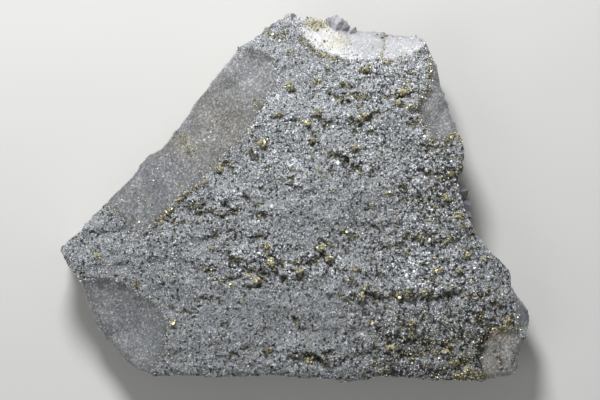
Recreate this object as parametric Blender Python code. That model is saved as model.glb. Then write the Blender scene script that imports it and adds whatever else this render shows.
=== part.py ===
"""Plate of drusy quartz sprinkled with chalcopyrite, lying on its back with the crystals up.

The plate grew as one piece, so it is one solid: broken vein quartz below, a sugary crust with
ledges above, five fresh breaks and a milky patch round the rim, glassy quartz points at the
edge and small clusters of chalcopyrite on the crust.

Metres, +Z up. The origin is on the ground, under the middle of the plate's box.
Lists of points are in millimetres, seen from above with +X to the right and +Y away.
"""

import math
from typing import NamedTuple

import bmesh
import bpy
import numpy as np
from mathutils import Matrix, Vector, noise

MM = 0.001

# Driving sizes, in millimetres
CRUST_LEVEL = 27.0  # the crust's general height above the ground
CRUST_DOME = 3.0  # how far the crust falls from the middle to the far corners
HALF_SPAN = 75.0  # from the middle to the far corners
SWELL, SWELL_SIZE = 1.3, 30.0  # height and breadth of the crust's broad swells, and so on
LUMP, LUMP_SIZE = 0.9, 8.0
TERRACE_PITCH = 12.5  # from one small wavy ledge to the next
TERRACE_LIFT = 1.0
TERRACE_WARP, TERRACE_WARP_SIZE = 9.0, 24.0
TERRACE_PATCH_SIZE = 20.0  # the terraces fade out and back over patches of this size
TERRACE_DROP = 0.08  # share of the pitch in which a terrace drops
LEDGE_RUN = 6.0  # how far behind a ledge the crust still rises to it
LEDGE_HOLLOW_RUN = 2.2
LEDGE_HOLLOW = 0.45  # depth of the hollow under a ledge, as a share of its lift
LEDGE_TAPER = 4.0
RIM_ROUND, RIM_REACH = 1.6, 1.5  # how far the crust's rim is worn down, and how far in
SHELL_MARK, SHELL_MARK_SIZE = 0.35, 9.0  # shell-like ripples on the breaks
UNDERCUT = 0.075  # share by which the foot of the walls draws in
UNDERCUT_CHANGE, UNDERCUT_SIZE = 0.6, 22.0
WALL_ROUGHNESS, WALL_LUMP_SIZE = 2.2, 11.0
BACK_HOLLOW, BACK_HOLLOW_SIZE = 5.0, 26.0
BACK_FLAT = 1.6  # how much of that depth is lost to the flat that it rests on
BACK_CHIP, BACK_CHIP_REACH = 4.0, 5.0  # how far the back's edge is chipped up, and how far in
BACK_CHIP_SIZE = 14.0
REST_FLATNESS = 0.12  # what lies lower than this is part of the flat that it rests on
TIP_RISE = 0.95  # height of a crystal's six-faced tip, as a share of its radius
CLUSTER_SHAPE = (1.25, 0.95, 0.85)
CLUSTER_TURN = 2.4  # radians from one cluster to the next
GRID = 1.0  # size of the voxels that the rough slab is made of
TRIANGLES_KEPT = 6900  # in the slab, before the crystals are fused to it
SHAPE_SEED = 69.2

OUTLINE = [
    (-75.6, -16.6), (-69.1, -11.5), (-66.9, -8.3), (-62.7, -4.5), (-56.3, 2.2),
    (-51.5, 6.7), (-49.0, 10.9), (-46.7, 13.4), (-43.2, 15.0), (-38.4, 21.4),
    (-31.0, 30.7), (-27.2, 36.5), (-19.5, 45.4), (-17.0, 48.3), (-12.2, 50.9),
    (-9.6, 53.8), (-5.8, 56.3), (-2.2, 58.9), (-0.6, 58.9), (0.6, 57.6),
    (10.6, 57.0), (13.1, 57.0), (17.3, 55.0), (19.8, 53.4), (33.6, 51.8),
    (40.6, 50.9), (43.5, 44.5), (45.4, 41.9), (46.1, 36.8), (49.0, 28.5),
    (52.8, 19.8), (53.8, 15.0), (53.8, 10.2), (51.8, 4.0), (53.2, 0.0),
    (54.6, -6.4), (58.2, -12.5), (62.4, -17.6), (65.6, -20.2), (68.2, -23.4),
    (69.4, -29.8), (74.2, -35.5), (75.2, -39.4), (73.6, -45.8), (71.7, -52.2),
    (71.7, -55.7), (69.4, -57.3), (59.2, -58.9), (46.4, -58.2), (27.2, -57.3),
    (17.6, -58.9), (1.6, -57.3), (-9.6, -56.6), (-20.8, -57.9), (-36.8, -57.0),
    (-44.8, -57.3), (-51.2, -55.4), (-54.7, -52.5), (-58.6, -48.0), (-63.4, -41.9),
    (-66.6, -33.6), (-68.8, -26.2), (-71.0, -24.6), (-73.3, -20.8),
]


class Break(NamedTuple):
    """A place at the rim where the crust is gone. The crease bounds it, the beyond is off the plate."""

    crease: list
    beyond: list
    step: float  # thickness of the crust that ends at the crease
    scoop: float  # depth of the hollow next to the crease
    scoop_run: float
    slope: float  # degrees, from the scoop out to the rim


BREAKS = {
    "long_left": Break(
        [
            (-18.2, 47.0), (-13.8, 47.4), (-9.9, 46.4), (-7.2, 44.4), (-6.2, 40.6),
            (-5.8, 35.5), (-8.3, 31.7), (-11.2, 26.2), (-14.4, 20.8), (-18.2, 16.6),
            (-23.4, 12.5), (-27.8, 7.0), (-32.3, 2.9), (-37.4, -0.3), (-41.3, -5.1),
            (-46.4, -9.3), (-51.5, -12.8), (-53.1, -10.6), (-54.7, -7.0), (-58.2, -3.8),
            (-61.1, -3.2),
        ],
        [(-70.0, 5.0), (-40.0, 45.0), (-22.0, 55.0)],
        step=0.5, scoop=1.5, scoop_run=4.0, slope=20.0,
    ),
    "low_left": Break(
        [
            (-69.4, -26.6), (-65.0, -26.2), (-60.5, -25.6), (-56.6, -26.6), (-52.2, -28.2),
            (-49.0, -31.0), (-43.8, -33.9), (-42.2, -36.8), (-40.6, -40.0), (-40.6, -44.5),
            (-42.2, -50.2), (-45.1, -54.7), (-46.1, -58.6),
        ],
        [(-55.0, -66.0), (-75.0, -50.0), (-78.0, -30.0)],
        step=0.8, scoop=2.4, scoop_run=5.0, slope=16.0,
    ),
    "milky_top": Break(
        [
            (1.6, 57.9), (2.2, 53.4), (3.8, 50.2), (7.4, 47.7), (11.8, 45.8),
            (17.0, 44.2), (25.9, 43.8), (34.9, 44.8), (39.0, 46.7), (42.6, 49.6),
        ],
        [(48.0, 60.0), (10.0, 64.0), (0.0, 62.0)],
        step=0.3, scoop=0.9, scoop_run=3.0, slope=24.0,
    ),
    "right": Break(
        [
            (43.8, 45.1), (43.2, 41.9), (43.2, 37.4), (42.6, 33.9), (40.0, 31.7),
            (39.0, 28.5), (39.4, 24.6), (41.6, 21.1), (44.5, 18.6), (48.0, 18.6),
            (50.6, 20.2), (53.8, 20.5),
        ],
        [(62.0, 25.0), (56.0, 45.0), (48.0, 50.0)],
        step=0.6, scoop=1.4, scoop_run=3.0, slope=22.0,
    ),
    "right_edge": Break(
        [(69.4, -30.4), (70.1, -33.6), (70.4, -38.7), (71.0, -43.5), (76.5, -44.5)],
        [(82.0, -40.0), (78.0, -30.0), (72.0, -28.0)],
        step=0.6, scoop=1.2, scoop_run=1.5, slope=42.0,
    ),
    "low_right": Break(
        [
            (76.5, -44.5), (73.0, -44.9), (71.0, -43.5), (68.2, -42.2), (64.3, -42.9),
            (61.8, -44.8), (60.2, -47.4), (59.2, -50.9), (59.5, -55.4), (58.2, -60.5),
        ],
        [(70.0, -66.0), (82.0, -60.0), (82.0, -46.0)],
        step=0.3, scoop=0.9, scoop_run=3.0, slope=18.0,
    ),
}

# Ledges in the crust: lift, then the line, drawn with the high side on its left hand
LEDGES = [
    (1.9, [
        (13.8, -31.4), (18.2, -32.3), (22.7, -31.0), (30.7, -30.7), (35.2, -31.7),
        (39.4, -31.7), (45.8, -30.7), (50.2, -30.1), (54.1, -28.5),
    ]),
    (1.6, [(33.6, -11.5), (38.4, -12.8), (42.6, -13.8), (46.4, -14.1), (50.2, -13.4), (54.1, -12.2)]),
    (1.4, [(-10.6, -15.7), (-8.6, -17.6), (-7.7, -19.8), (-6.7, -22.7), (-4.8, -25.0), (-1.6, -26.9)]),
    (1.1, [(-22.1, -18.2), (-19.8, -20.5), (-16.6, -21.1), (-12.5, -24.0)]),
    (1.0, [(6.7, -15.0), (9.0, -17.6), (11.2, -19.8), (13.4, -22.4)]),
    (1.2, [(9.6, 34.2), (13.1, 32.0), (15.7, 30.7), (19.5, 32.0), (23.7, 31.0)]),
    (1.2, [(26.6, 32.3), (31.0, 31.7), (34.2, 32.6), (37.1, 32.0), (40.0, 33.6)]),
    (1.3, [(16.3, 26.2), (19.5, 24.3), (22.1, 23.4), (24.3, 25.9), (27.5, 27.5)]),
    (1.2, [(8.0, 14.4), (11.8, 13.1), (15.0, 12.8), (17.6, 10.9), (20.8, 8.0)]),
    (1.1, [(-38.1, -1.9), (-32.0, -3.8), (-25.6, -4.8), (-17.0, -5.4)]),
    (1.2, [(-2.2, -49.9), (2.9, -51.8), (8.0, -52.5), (12.5, -51.5)]),
    (1.0, [(32.0, -47.4), (38.4, -46.1), (45.1, -46.7), (51.2, -45.1)]),
]

# Clusters of chalcopyrite: x, y, radius
CLUSTERS = [
    (-10.6, 16.6, 1.3), (22.7, 40.3, 1.2), (-11.2, 29.8, 0.9), (-1.6, 35.2, 1.2),
    (-5.1, 26.2, 1.0), (3.8, 23.7, 1.3), (7.4, 26.9, 0.9), (7.0, 36.8, 0.8),
    (15.0, 36.5, 0.9), (17.6, 35.2, 0.8), (14.4, 31.0, 1.0), (20.8, 25.3, 1.1),
    (21.4, 32.3, 0.9), (34.6, 33.3, 1.2), (33.0, 29.8, 0.9), (36.8, 28.5, 0.9),
    (18.9, 15.4, 1.1), (5.8, 18.2, 1.0), (-8.6, 9.9, 0.8), (-24.0, 9.0, 0.9),
    (-35.5, 17.9, 1.0), (-33.6, 14.7, 1.0), (-40.3, -4.8, 0.9), (-26.2, -16.6, 0.9),
    (-9.0, -15.7, 1.2), (-8.0, -20.8, 1.2), (-15.0, -25.3, 1.4), (-11.8, -26.6, 1.3),
    (1.3, -23.7, 1.0), (8.0, -16.3, 1.1), (10.2, -19.2, 0.9), (19.5, -23.0, 0.9),
    (22.7, -29.1, 1.0), (21.1, -32.0, 1.0), (32.6, -31.4, 1.0), (41.6, -30.4, 0.9),
    (45.4, -23.4, 1.0), (48.0, -0.3, 1.0), (52.2, -6.1, 1.1), (39.4, -13.1, 1.0),
    (48.6, -13.8, 1.0), (54.7, -18.6, 1.0), (60.5, -19.5, 0.8), (52.5, -23.4, 0.9),
    (68.0, -39.4, 1.2), (4.8, -52.2, 1.0), (-9.0, -49.0, 0.9), (30.4, -48.0, 0.9),
    (48.0, -49.0, 1.0), (51.2, -52.8, 1.1), (54.7, -56.0, 1.1), (37.1, -40.0, 0.8),
    (-39.0, -40.0, 0.9), (-50.6, -27.8, 0.8), (-63.0, -18.9, 0.9),
]


class Point(NamedTuple):
    """A glassy quartz crystal at the edge: where its tip is, its size, and the way it leans."""

    x: float
    y: float
    z: float
    radius: float
    length: float  # from its foot to its tip
    lean: tuple


GLASSY_POINTS = [
    Point(13.4, 58.1, 22.5, 2.1, 8.0, (0.05, 0.75, 0.60)),
    Point(16.5, 56.3, 21.4, 1.8, 7.0, (0.30, 0.70, 0.60)),
    Point(19.2, 54.6, 20.8, 1.5, 6.5, (0.50, 0.60, 0.60)),
    Point(10.4, 57.5, 21.8, 1.6, 7.0, (-0.2, 0.70, 0.65)),
    Point(-1.4, 58.4, 24.0, 2.3, 8.0, (0.00, 0.55, 0.80)),
    Point(-5.4, 56.8, 23.2, 1.9, 7.0, (-0.4, 0.60, 0.70)),
    Point(-9.6, 54.3, 22.6, 1.7, 7.0, (-0.5, 0.50, 0.70)),
    Point(54.2, 1.80, 18.5, 2.1, 8.0, (0.85, 0.25, 0.35)),
    Point(55.0, -2.3, 17.0, 2.4, 8.0, (0.90, 0.00, 0.30)),
    Point(55.8, -6.3, 18.0, 1.9, 8.0, (0.85, -0.2, 0.35)),
    Point(47.9, 33.4, 16.5, 1.6, 7.0, (0.80, 0.20, 0.40)),
    Point(49.3, 30.0, 16.0, 1.5, 7.0, (0.85, 0.10, 0.30)),
    Point(38.6, 52.2, 20.0, 1.4, 6.0, (0.30, 0.70, 0.50)),
    Point(28.0, 53.2, 19.6, 1.5, 6.0, (-0.1, 0.80, 0.50)),
]


def distance_to_line(points, line):
    """How far each point is from a line, and +1 where the point is on the line's left hand, else -1."""
    nearest = np.full(len(points), np.inf)
    side = np.ones(len(points))
    corners = np.array(line, float)
    for start, end in zip(corners[:-1], corners[1:]):
        run = end - start
        along = np.clip((points - start) @ run / (run @ run), 0, 1)
        gap = points - start - along[:, None] * run
        distance = np.hypot(gap[:, 0], gap[:, 1])
        nearer = distance < nearest
        nearest[nearer] = distance[nearer]
        side[nearer] = np.sign(run[0] * gap[:, 1] - run[1] * gap[:, 0])[nearer]
    return nearest, side


def inside(points, polygon):
    """Whether each point lies inside a closed polygon, by counting the edges to its right."""
    crossings = np.zeros(len(points), int)
    corners = np.array(polygon, float)
    for a, b in zip(corners, np.roll(corners, -1, axis=0)):
        spans = (a[1] > points[:, 1]) != (b[1] > points[:, 1])
        rise = b[1] - a[1] or 1e-9
        x_there = a[0] + (points[:, 1] - a[1]) * (b[0] - a[0]) / rise
        crossings += spans & (points[:, 0] < x_there)
    return crossings % 2 == 1


def smooth_step(values):
    t = np.clip(values, 0, 1)
    return t * t * (3 - 2 * t)


def rough(points, size, layer, octaves=3):
    """Fractal noise from about -1 to 1. Size is its largest swell, and each layer is a noise of its own."""
    padded = np.zeros((len(points), 3))
    padded[:, : points.shape[1]] = points
    padded = padded / size + SHAPE_SEED + layer
    return np.array([noise.fractal(Vector(place), 0.9, 2.0, octaves) for place in padded])


def terraces(points):
    """Small wavy ledges that run across the crust, each one steep on its near side."""
    warp = TERRACE_WARP * rough(points * (0.45, 1.0), TERRACE_WARP_SIZE, layer=0, octaves=4)
    phase = np.mod((points[:, 1] + warp) / TERRACE_PITCH, 1)
    strength = smooth_step(0.55 + rough(points, TERRACE_PATCH_SIZE, layer=5))
    rise = (1 - phase) * np.minimum(phase / TERRACE_DROP, 1)
    return TERRACE_LIFT * strength * rise


def ledges(points):
    height = np.zeros(len(points))
    for lift, line in LEDGES:
        distance, side = distance_to_line(points, line)
        from_ends = np.minimum(np.hypot(*(points - line[0]).T), np.hypot(*(points - line[-1]).T))
        raised = np.exp(-((distance / LEDGE_RUN) ** 2))
        hollow = -LEDGE_HOLLOW * np.exp(-((distance / LEDGE_HOLLOW_RUN) ** 2))
        height += lift * smooth_step(from_ends / LEDGE_TAPER) * np.where(side > 0, raised, hollow)
    return height


def dome(points):
    return CRUST_LEVEL - CRUST_DOME * np.hypot(*points.T) ** 2 / HALF_SPAN**2


def crust(points):
    """The crust's height, with its swells, lumps, terraces and ledges."""
    swells = SWELL * rough(points * (0.6, 1.0), SWELL_SIZE, layer=0, octaves=2)
    lumps = LUMP * rough(points, LUMP_SIZE, layer=3)
    return dome(points) + swells + lumps + terraces(points) + ledges(points)


def broken(points, level):
    """The level where the crust has broken away: a step down, a scoop, and a slope to the rim."""
    level = level.copy()
    shell_marks = SHELL_MARK * rough(points, SHELL_MARK_SIZE, layer=9, octaves=2)
    for place in BREAKS.values():
        within = inside(points, place.crease + place.beyond)
        distance, _ = distance_to_line(points[within], place.crease)
        scoop = place.scoop * (1 - np.exp(-distance / place.scoop_run))
        fall = distance * math.tan(math.radians(place.slope))
        level[within] = dome(points[within]) - place.step - scoop - fall + shell_marks[within]
    return level


def top(points):
    """Height of the upper surface above each point, in millimetres."""
    from_rim, _ = distance_to_line(points, OUTLINE + OUTLINE[:1])
    worn = RIM_ROUND * np.exp(-from_rim / RIM_REACH)
    return broken(points, crust(points)) - worn


def back(points):
    """Height of the underside: flat where the plate rests, with hollows and a chipped edge."""
    from_rim, _ = distance_to_line(points, OUTLINE + OUTLINE[:1])
    chips = BACK_CHIP * (1 + rough(points, BACK_CHIP_SIZE, layer=21)) * np.exp(-from_rim / BACK_CHIP_REACH)
    hollows = BACK_HOLLOW * rough(points, BACK_HOLLOW_SIZE, layer=13)
    return np.maximum(0, hollows + chips - BACK_FLAT)


def as_object(mesh):
    thing = bpy.data.objects.new(mesh.name, mesh)
    bpy.context.scene.collection.objects.link(thing)
    return thing


def with_modifier(mesh, kind, **settings):
    """The mesh that one modifier makes of the given mesh."""
    thing = as_object(mesh)
    modifier = thing.modifiers.new(kind.lower(), kind)
    for setting, value in settings.items():
        setattr(modifier, setting, value)
    graph = bpy.context.evaluated_depsgraph_get()
    changed = bpy.data.meshes.new_from_object(thing.evaluated_get(graph))
    bpy.data.objects.remove(thing)
    return changed


def slab():
    """The outline extruded to a plain slab."""
    shape = bmesh.new()
    rim = shape.faces.new([shape.verts.new((x * MM, y * MM, 0)) for x, y in OUTLINE])
    sides = bmesh.ops.extrude_face_region(shape, geom=[rim])
    raised = [v for v in sides["geom"] if isinstance(v, bmesh.types.BMVert)]
    bmesh.ops.translate(shape, vec=(0, 0, CRUST_LEVEL * MM), verts=raised)
    bmesh.ops.recalc_face_normals(shape, faces=shape.faces)
    mesh = bpy.data.meshes.new("slab")
    shape.to_mesh(mesh)
    shape.free()
    return mesh


def read_points(mesh):
    places = np.empty(len(mesh.vertices) * 3)
    mesh.vertices.foreach_get("co", places)
    return places.reshape(-1, 3) / MM


def write_points(mesh, places):
    mesh.vertices.foreach_set("co", (places * MM).ravel())
    mesh.update()


def shape_slab(mesh):
    """Draws the slab out to the plate's top, back and rough leaning walls."""
    places = read_points(mesh)
    flat = places[:, :2]
    margin = GRID / 2
    share = np.clip((places[:, 2] - margin) / (CRUST_LEVEL - 2 * margin), 0, 1)
    low, high = back(flat), top(flat)
    change = UNDERCUT_CHANGE * rough(flat, UNDERCUT_SIZE, layer=31)
    lean = 1 - UNDERCUT * (1 - share) ** 1.5 * (1 + change)
    lumps = rough(places * (1, 1, 1.4), WALL_LUMP_SIZE, layer=41)
    bulge = WALL_ROUGHNESS * 4 * share * (1 - share) * lumps
    outward = flat / np.maximum(np.hypot(*flat.T), 1)[:, None]
    drawn = flat * lean[:, None] + outward * bulge[:, None]
    write_points(mesh, np.column_stack([drawn, low + (high - low) * share]))


def rest_flat(mesh):
    """Makes the places that it rests on exactly flat."""
    places = read_points(mesh)
    places[places[:, 2] < REST_FLATNESS, 2] = 0
    write_points(mesh, places)


def add_glassy_point(shape, point):
    """A six-sided prism with a six-faced tip, its foot sunk in the plate."""
    lean = Vector(point.lean).normalized()
    radius = point.radius * MM
    tip_rise = TIP_RISE * radius
    shaft = point.length * MM - tip_rise
    tip = Vector((point.x, point.y, point.z)) * MM
    middle = tip - lean * (tip_rise + shaft / 2)
    place = Matrix.Translation(middle) @ lean.to_track_quat("Z", "Y").to_matrix().to_4x4()
    made = bmesh.ops.create_cone(
        shape, segments=6, radius1=radius, radius2=radius, depth=shaft, cap_ends=True, matrix=place
    )["verts"]
    end = max({face for v in made for face in v.link_faces}, key=lambda f: f.calc_center_median() @ lean)
    apex = bmesh.ops.poke(shape, faces=[end])["verts"][0]
    apex.co = tip


def add_cluster(shape, x, y, radius, turn):
    """A faceted lump of chalcopyrite, half sunk in the crust."""
    level = float(top(np.array([[x, y]]))[0]) + 0.1 * radius
    place = Matrix.Translation(Vector((x, y, level)) * MM) @ Matrix.Rotation(turn, 4, "Z")
    place = place @ Matrix.Rotation(0.7 * turn, 4, "X") @ Matrix.Diagonal((*CLUSTER_SHAPE, 1))
    bmesh.ops.create_icosphere(shape, subdivisions=1, radius=radius * MM, matrix=place)


def grown_on():
    """Everything that stands out of the plate, as one hidden mesh to be fused to it."""
    shape = bmesh.new()
    for point in GLASSY_POINTS:
        add_glassy_point(shape, point)
    for index, (x, y, radius) in enumerate(CLUSTERS):
        add_cluster(shape, x, y, radius, turn=CLUSTER_TURN * index)
    bmesh.ops.triangulate(shape, faces=shape.faces)
    mesh = bpy.data.meshes.new("grown_on")
    shape.to_mesh(mesh)
    shape.free()
    grown = as_object(mesh)
    grown.hide_render = True
    grown.display_type = "WIRE"
    return grown


def quartz_material():
    quartz = bpy.data.materials.new("drusy_quartz")
    quartz.use_nodes = True
    finish = quartz.node_tree.nodes["Principled BSDF"]
    finish.inputs["Base Color"].default_value = (0.36, 0.37, 0.38, 1)
    finish.inputs["Roughness"].default_value = 0.4
    finish.inputs["Metallic"].default_value = 0.0
    return quartz


def make_plate():
    even = with_modifier(slab(), "REMESH", mode="VOXEL", voxel_size=GRID * MM)
    shape_slab(even)
    triangles = sum(len(face.vertices) - 2 for face in even.polygons)
    mesh = with_modifier(even, "DECIMATE", ratio=TRIANGLES_KEPT / triangles)
    rest_flat(mesh)
    mesh.name = "quartz_plate"
    mesh.materials.append(quartz_material())
    fuse = as_object(mesh).modifiers.new("crystals", "BOOLEAN")
    fuse.operation = "UNION"
    fuse.solver = "EXACT"
    fuse.use_self = True
    fuse.object = grown_on()


for leftover in list(bpy.data.objects):
    bpy.data.objects.remove(leftover)
make_plate()
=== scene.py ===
"""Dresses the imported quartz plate: its broken quartz, its crust of small crystals, the glassy points
at its edge, the chalcopyrite grains, and the stage that it lies on.

Settings are in metres. Lists of places are in millimetres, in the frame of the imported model.
"""

import math
from typing import NamedTuple

import bmesh
import bpy
import numpy as np
from bpy.props import FloatProperty, FloatVectorProperty, IntProperty, PointerProperty
from mathutils import Matrix, Vector, kdtree, noise


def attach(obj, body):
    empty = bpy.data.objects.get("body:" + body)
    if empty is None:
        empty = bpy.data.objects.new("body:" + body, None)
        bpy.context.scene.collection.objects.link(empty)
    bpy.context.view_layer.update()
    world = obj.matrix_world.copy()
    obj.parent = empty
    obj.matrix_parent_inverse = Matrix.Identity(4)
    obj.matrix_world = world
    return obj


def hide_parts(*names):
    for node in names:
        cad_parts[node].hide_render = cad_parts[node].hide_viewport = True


bl_info = {
    "name": "Quartz with Chalcopyrite",
    "version": (1, 0, 0),
    "blender": (4, 5, 0),
    "location": "3D View > Sidebar > Mineral",
    "description": "Dresses a plate of drusy quartz with its crystals and chalcopyrite grains",
    "category": "Object",
}

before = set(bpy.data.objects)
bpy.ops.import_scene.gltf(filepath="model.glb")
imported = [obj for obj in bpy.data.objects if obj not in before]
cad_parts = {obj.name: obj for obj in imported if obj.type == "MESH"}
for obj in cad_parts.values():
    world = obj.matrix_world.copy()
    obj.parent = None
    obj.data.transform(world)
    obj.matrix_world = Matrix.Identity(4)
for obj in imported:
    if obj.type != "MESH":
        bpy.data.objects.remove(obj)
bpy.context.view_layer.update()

MM = 0.001
PLATE_NODE = "quartz_plate"
BODY = "plate_quartz"
SEED = 11
HALF_PLATE = np.array((74, 58))  # half the plate's length and width, in millimetres
LOWEST_TOP = 8  # the top lies higher than this everywhere, in millimetres
TOP_HEIGHT = 0.02  # what the lights and the camera point at, in metres
QUARTZ_IOR = 1.544
QUARTZ_SLOPE = math.radians(51.8)  # of the six faces at a crystal's tip

# How many places are tried for crystals, splinters and grains, before they are thinned out
DRUSE_PLACES = 420000
SUGAR_PLACES = 90000
ORE_PLACES = 260000

# ---------------------------------------------------------------- places on the plate


class Zone(NamedTuple):
    """A part of the top where the crust is gone: its crease, where it ends, and its colour."""

    crease: list
    beyond: list
    colour: tuple


ZONES = {
    "long_left": Zone(
        [
            (-18.2, 47.0), (-13.8, 47.4), (-9.9, 46.4), (-7.2, 44.4), (-6.2, 40.6),
            (-5.8, 35.5), (-8.3, 31.7), (-11.2, 26.2), (-14.4, 20.8), (-18.2, 16.6),
            (-23.4, 12.5), (-27.8, 7.0), (-32.3, 2.9), (-37.4, -0.3), (-41.3, -5.1),
            (-46.4, -9.3), (-51.5, -12.8), (-53.1, -10.6), (-54.7, -7.0), (-58.2, -3.8),
            (-61.1, -3.2),
        ],
        [(-70.0, 5.0), (-40.0, 45.0), (-22.0, 55.0)],
        (0.153, 0.154, 0.156),
    ),
    "low_left": Zone(
        [
            (-69.4, -26.6), (-65.0, -26.2), (-60.5, -25.6), (-56.6, -26.6), (-52.2, -28.2),
            (-49.0, -31.0), (-43.8, -33.9), (-42.2, -36.8), (-40.6, -40.0), (-40.6, -44.5),
            (-42.2, -50.2), (-45.1, -54.7), (-46.1, -58.6),
        ],
        [(-55.0, -66.0), (-75.0, -50.0), (-78.0, -30.0)],
        (0.200, 0.206, 0.214),
    ),
    "right": Zone(
        [
            (43.8, 45.1), (43.2, 41.9), (43.2, 37.4), (42.6, 33.9), (40.0, 31.7),
            (39.0, 28.5), (39.4, 24.6), (41.6, 21.1), (44.5, 18.6), (48.0, 18.6),
            (50.6, 20.2), (53.8, 20.5),
        ],
        [(62.0, 25.0), (56.0, 45.0), (48.0, 50.0)],
        (0.188, 0.193, 0.200),
    ),
    "right_edge": Zone(
        [(69.4, -30.4), (70.1, -33.6), (70.4, -38.7), (71.0, -43.5), (76.5, -44.5)],
        [(82.0, -40.0), (78.0, -30.0), (72.0, -28.0)],
        (0.23, 0.25, 0.275),
    ),
    "low_right": Zone(
        [
            (76.5, -44.5), (73.0, -44.9), (71.0, -43.5), (68.2, -42.2), (64.3, -42.9),
            (61.8, -44.8), (60.2, -47.4), (59.2, -50.9), (59.5, -55.4), (58.2, -60.5),
        ],
        [(70.0, -66.0), (82.0, -60.0), (82.0, -46.0)],
        (0.315, 0.314, 0.306),
    ),
    "milky_top": Zone(
        [
            (1.6, 57.9), (2.2, 53.4), (3.8, 50.2), (7.4, 47.7), (11.8, 45.8),
            (17.0, 44.2), (25.9, 43.8), (34.9, 44.8), (39.0, 46.7), (42.6, 49.6),
        ],
        [(48.0, 60.0), (10.0, 64.0), (0.0, 62.0)],
        (0.53, 0.535, 0.55),
    ),
}

ZONE_NAMES = list(ZONES)

# Zones where the crust's edge stands up over the crease, with painted shade on the break along the crease
CRESTED = ("long_left", "low_right")

# Where the crust is pale, left of the milky patch, and its colour there
PALE_RIM = [(-13.0, 52.0), (-8.0, 55.5), (-1.0, 59.5)]
PALE_LILAC = (0.62, 0.60, 0.67)

# Colours inside the milky patch
MILK_WHITE = (0.68, 0.68, 0.675)
CLOUD_BLUE = (0.42, 0.435, 0.46)
DULL_GREY = (0.43, 0.44, 0.46)
PALE_YELLOW = (0.56, 0.53, 0.40)
ORE_TAN = (0.45, 0.41, 0.28)

# Ledges in the crust: lift, then the line, drawn with the high side on its left hand
LEDGES = [
    (1.9, [
        (13.8, -31.4), (18.2, -32.3), (22.7, -31.0), (30.7, -30.7), (35.2, -31.7),
        (39.4, -31.7), (45.8, -30.7), (50.2, -30.1), (54.1, -28.5),
    ]),
    (1.6, [(33.6, -11.5), (38.4, -12.8), (42.6, -13.8), (46.4, -14.1), (50.2, -13.4), (54.1, -12.2)]),
    (1.4, [(-10.6, -15.7), (-8.6, -17.6), (-7.7, -19.8), (-6.7, -22.7), (-4.8, -25.0), (-1.6, -26.9)]),
    (1.1, [(-22.1, -18.2), (-19.8, -20.5), (-16.6, -21.1), (-12.5, -24.0)]),
    (1.0, [(6.7, -15.0), (9.0, -17.6), (11.2, -19.8), (13.4, -22.4)]),
    (1.2, [(9.6, 34.2), (13.1, 32.0), (15.7, 30.7), (19.5, 32.0), (23.7, 31.0)]),
    (1.2, [(26.6, 32.3), (31.0, 31.7), (34.2, 32.6), (37.1, 32.0), (40.0, 33.6)]),
    (1.3, [(16.3, 26.2), (19.5, 24.3), (22.1, 23.4), (24.3, 25.9), (27.5, 27.5)]),
    (1.2, [(8.0, 14.4), (11.8, 13.1), (15.0, 12.8), (17.6, 10.9), (20.8, 8.0)]),
    (1.1, [(-38.1, -1.9), (-32.0, -3.8), (-25.6, -4.8), (-17.0, -5.4)]),
    (1.2, [(-2.2, -49.9), (2.9, -51.8), (8.0, -52.5), (12.5, -51.5)]),
    (1.0, [(32.0, -47.4), (38.4, -46.1), (45.1, -46.7), (51.2, -45.1)]),
]

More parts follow.
